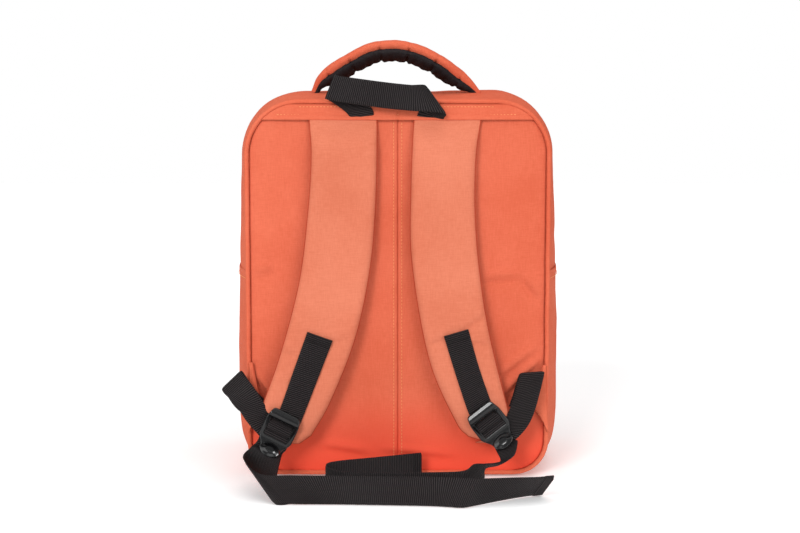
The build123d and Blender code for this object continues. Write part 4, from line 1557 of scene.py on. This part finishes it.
def pocket_outline(inset):
    """The front pocket's rounded outline, drawn inside its wall."""
    places = []
    radius = wall_radius - inset
    corners = ((1, 1, 90), (1, -1, 0), (-1, -1, -90), (-1, 1, 180))
    for sx, sz, start in corners:
        centre_x = sx * (wall_half - wall_radius)
        centre_z = wall_middle + sz * (wall_half_height - wall_radius)
        for i in range(14):
            angle = math.radians(start - 90 * i / 13)
            places.append((centre_x + radius * math.cos(angle), centre_z + radius * math.sin(angle)))
    dense = []
    for (ax, az), (bx, bz) in zip(places, places[1:] + places[:1]):
        count = max(1, int(math.hypot(bx - ax, bz - az) / 0.004))
        dense += [(ax + (bx - ax) * i / count, az + (bz - az) * i / count) for i in range(count)]
    return dense


wall = pocket_outline(0.0)
wall_rings = 14
wall_grid = np.zeros((len(wall), wall_rings, 3))
for i, (x, z) in enumerate(wall):
    toward = Vector((x, z - wall_middle)).normalized()
    for c in range(wall_rings):
        t = c / (wall_rings - 1)
        out = (0.0014 + 0.0006 * cloth_noise(x, t * 0.05, z, 40, 7)) * math.sin(math.pi * t)
        wall_grid[i, c] = (x + toward.x * out, front_y + 0.0005 + 0.0255 * t, z + toward.y * out)
pocket_wall = surface("front_pocket_wall", wall_grid, coral_cloth, wrap_rows=True, span=(0.026, 0.8))
pocket_wall.data.flip_normals()
thicken(pocket_wall, 0.0016, lining_cloth)
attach(pocket_wall, "front_lid")


def pocket_edge_outside(x, z):
    """The place on the pocket's edge straight out from the flap's opening."""
    for scale in np.linspace(1.3, 1.0, 160):
        place_x, place_z = x * scale, wall_middle + (z - wall_middle) * scale
        gap_x = abs(place_x) - (wall_half - wall_radius)
        gap_z = abs(place_z - wall_middle) - (wall_half_height - wall_radius)
        beyond = math.hypot(max(gap_x, 0), max(gap_z, 0))
        if beyond <= wall_radius:
            return place_x, place_z
    return x, z


pocket_frame = framed(
    "front_pocket_frame", pocket_y, flap_half, flap_low, flap_high, flap_radius, pocket_edge_outside,
    coral_cloth, "front_lid",
)
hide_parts("front_pocket")
wall_edge = [(x, pocket_y - 0.0002, z) for x, z in wall]
pocket_piping = tube("front_pocket_piping", wall_edge, lambda i: 0.0017, coral_cloth, sides=10)
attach(pocket_piping, "front_lid")

# The reflective strip is silver tape of tiny glass beads, sewn along its edges.
reflective_tape = make_plain("reflective_tape", (0.58, 0.59, 0.60), 0.35, 1600, 0.00006)
strip_half = 0.090
strip_low, strip_high = 0.1625, 0.1875


def flap_face(x):
    """How far out the flap's cloth stands where the strip lies on it."""
    return pocket_y + (1 - (x / flap_half) ** 4) * 0.001


def frontwards(point):
    """The direction that the front pocket faces."""
    return (0, 1, 0)


def strip_place(s, t):
    """The strip's surface, drawn down along its two sewn edges."""
    x = strip_half * (2 * s - 1)
    raised = max(0.0, math.sin(math.pi * t)) ** 0.3
    return x, flap_face(x) + 0.0006 + 0.0005 * raised, strip_low + (strip_high - strip_low) * t


strip = surface("reflective_strip_tape", grid_of(9, 61, strip_place), reflective_tape, span=(0.18, 0.025))
strip.data.flip_normals()
thicken(strip, 0.0006)
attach(strip, "pocket_flap")
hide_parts("reflective_strip")
for index, z in enumerate((strip_low + 0.002, strip_high - 0.002)):
    line = [(x, flap_face(x) + 0.0013, z) for x in np.linspace(-0.088, 0.088, 60)]
    stitches(f"strip_stitching_{index + 1}", line, frontwards, coral_thread, "pocket_flap")
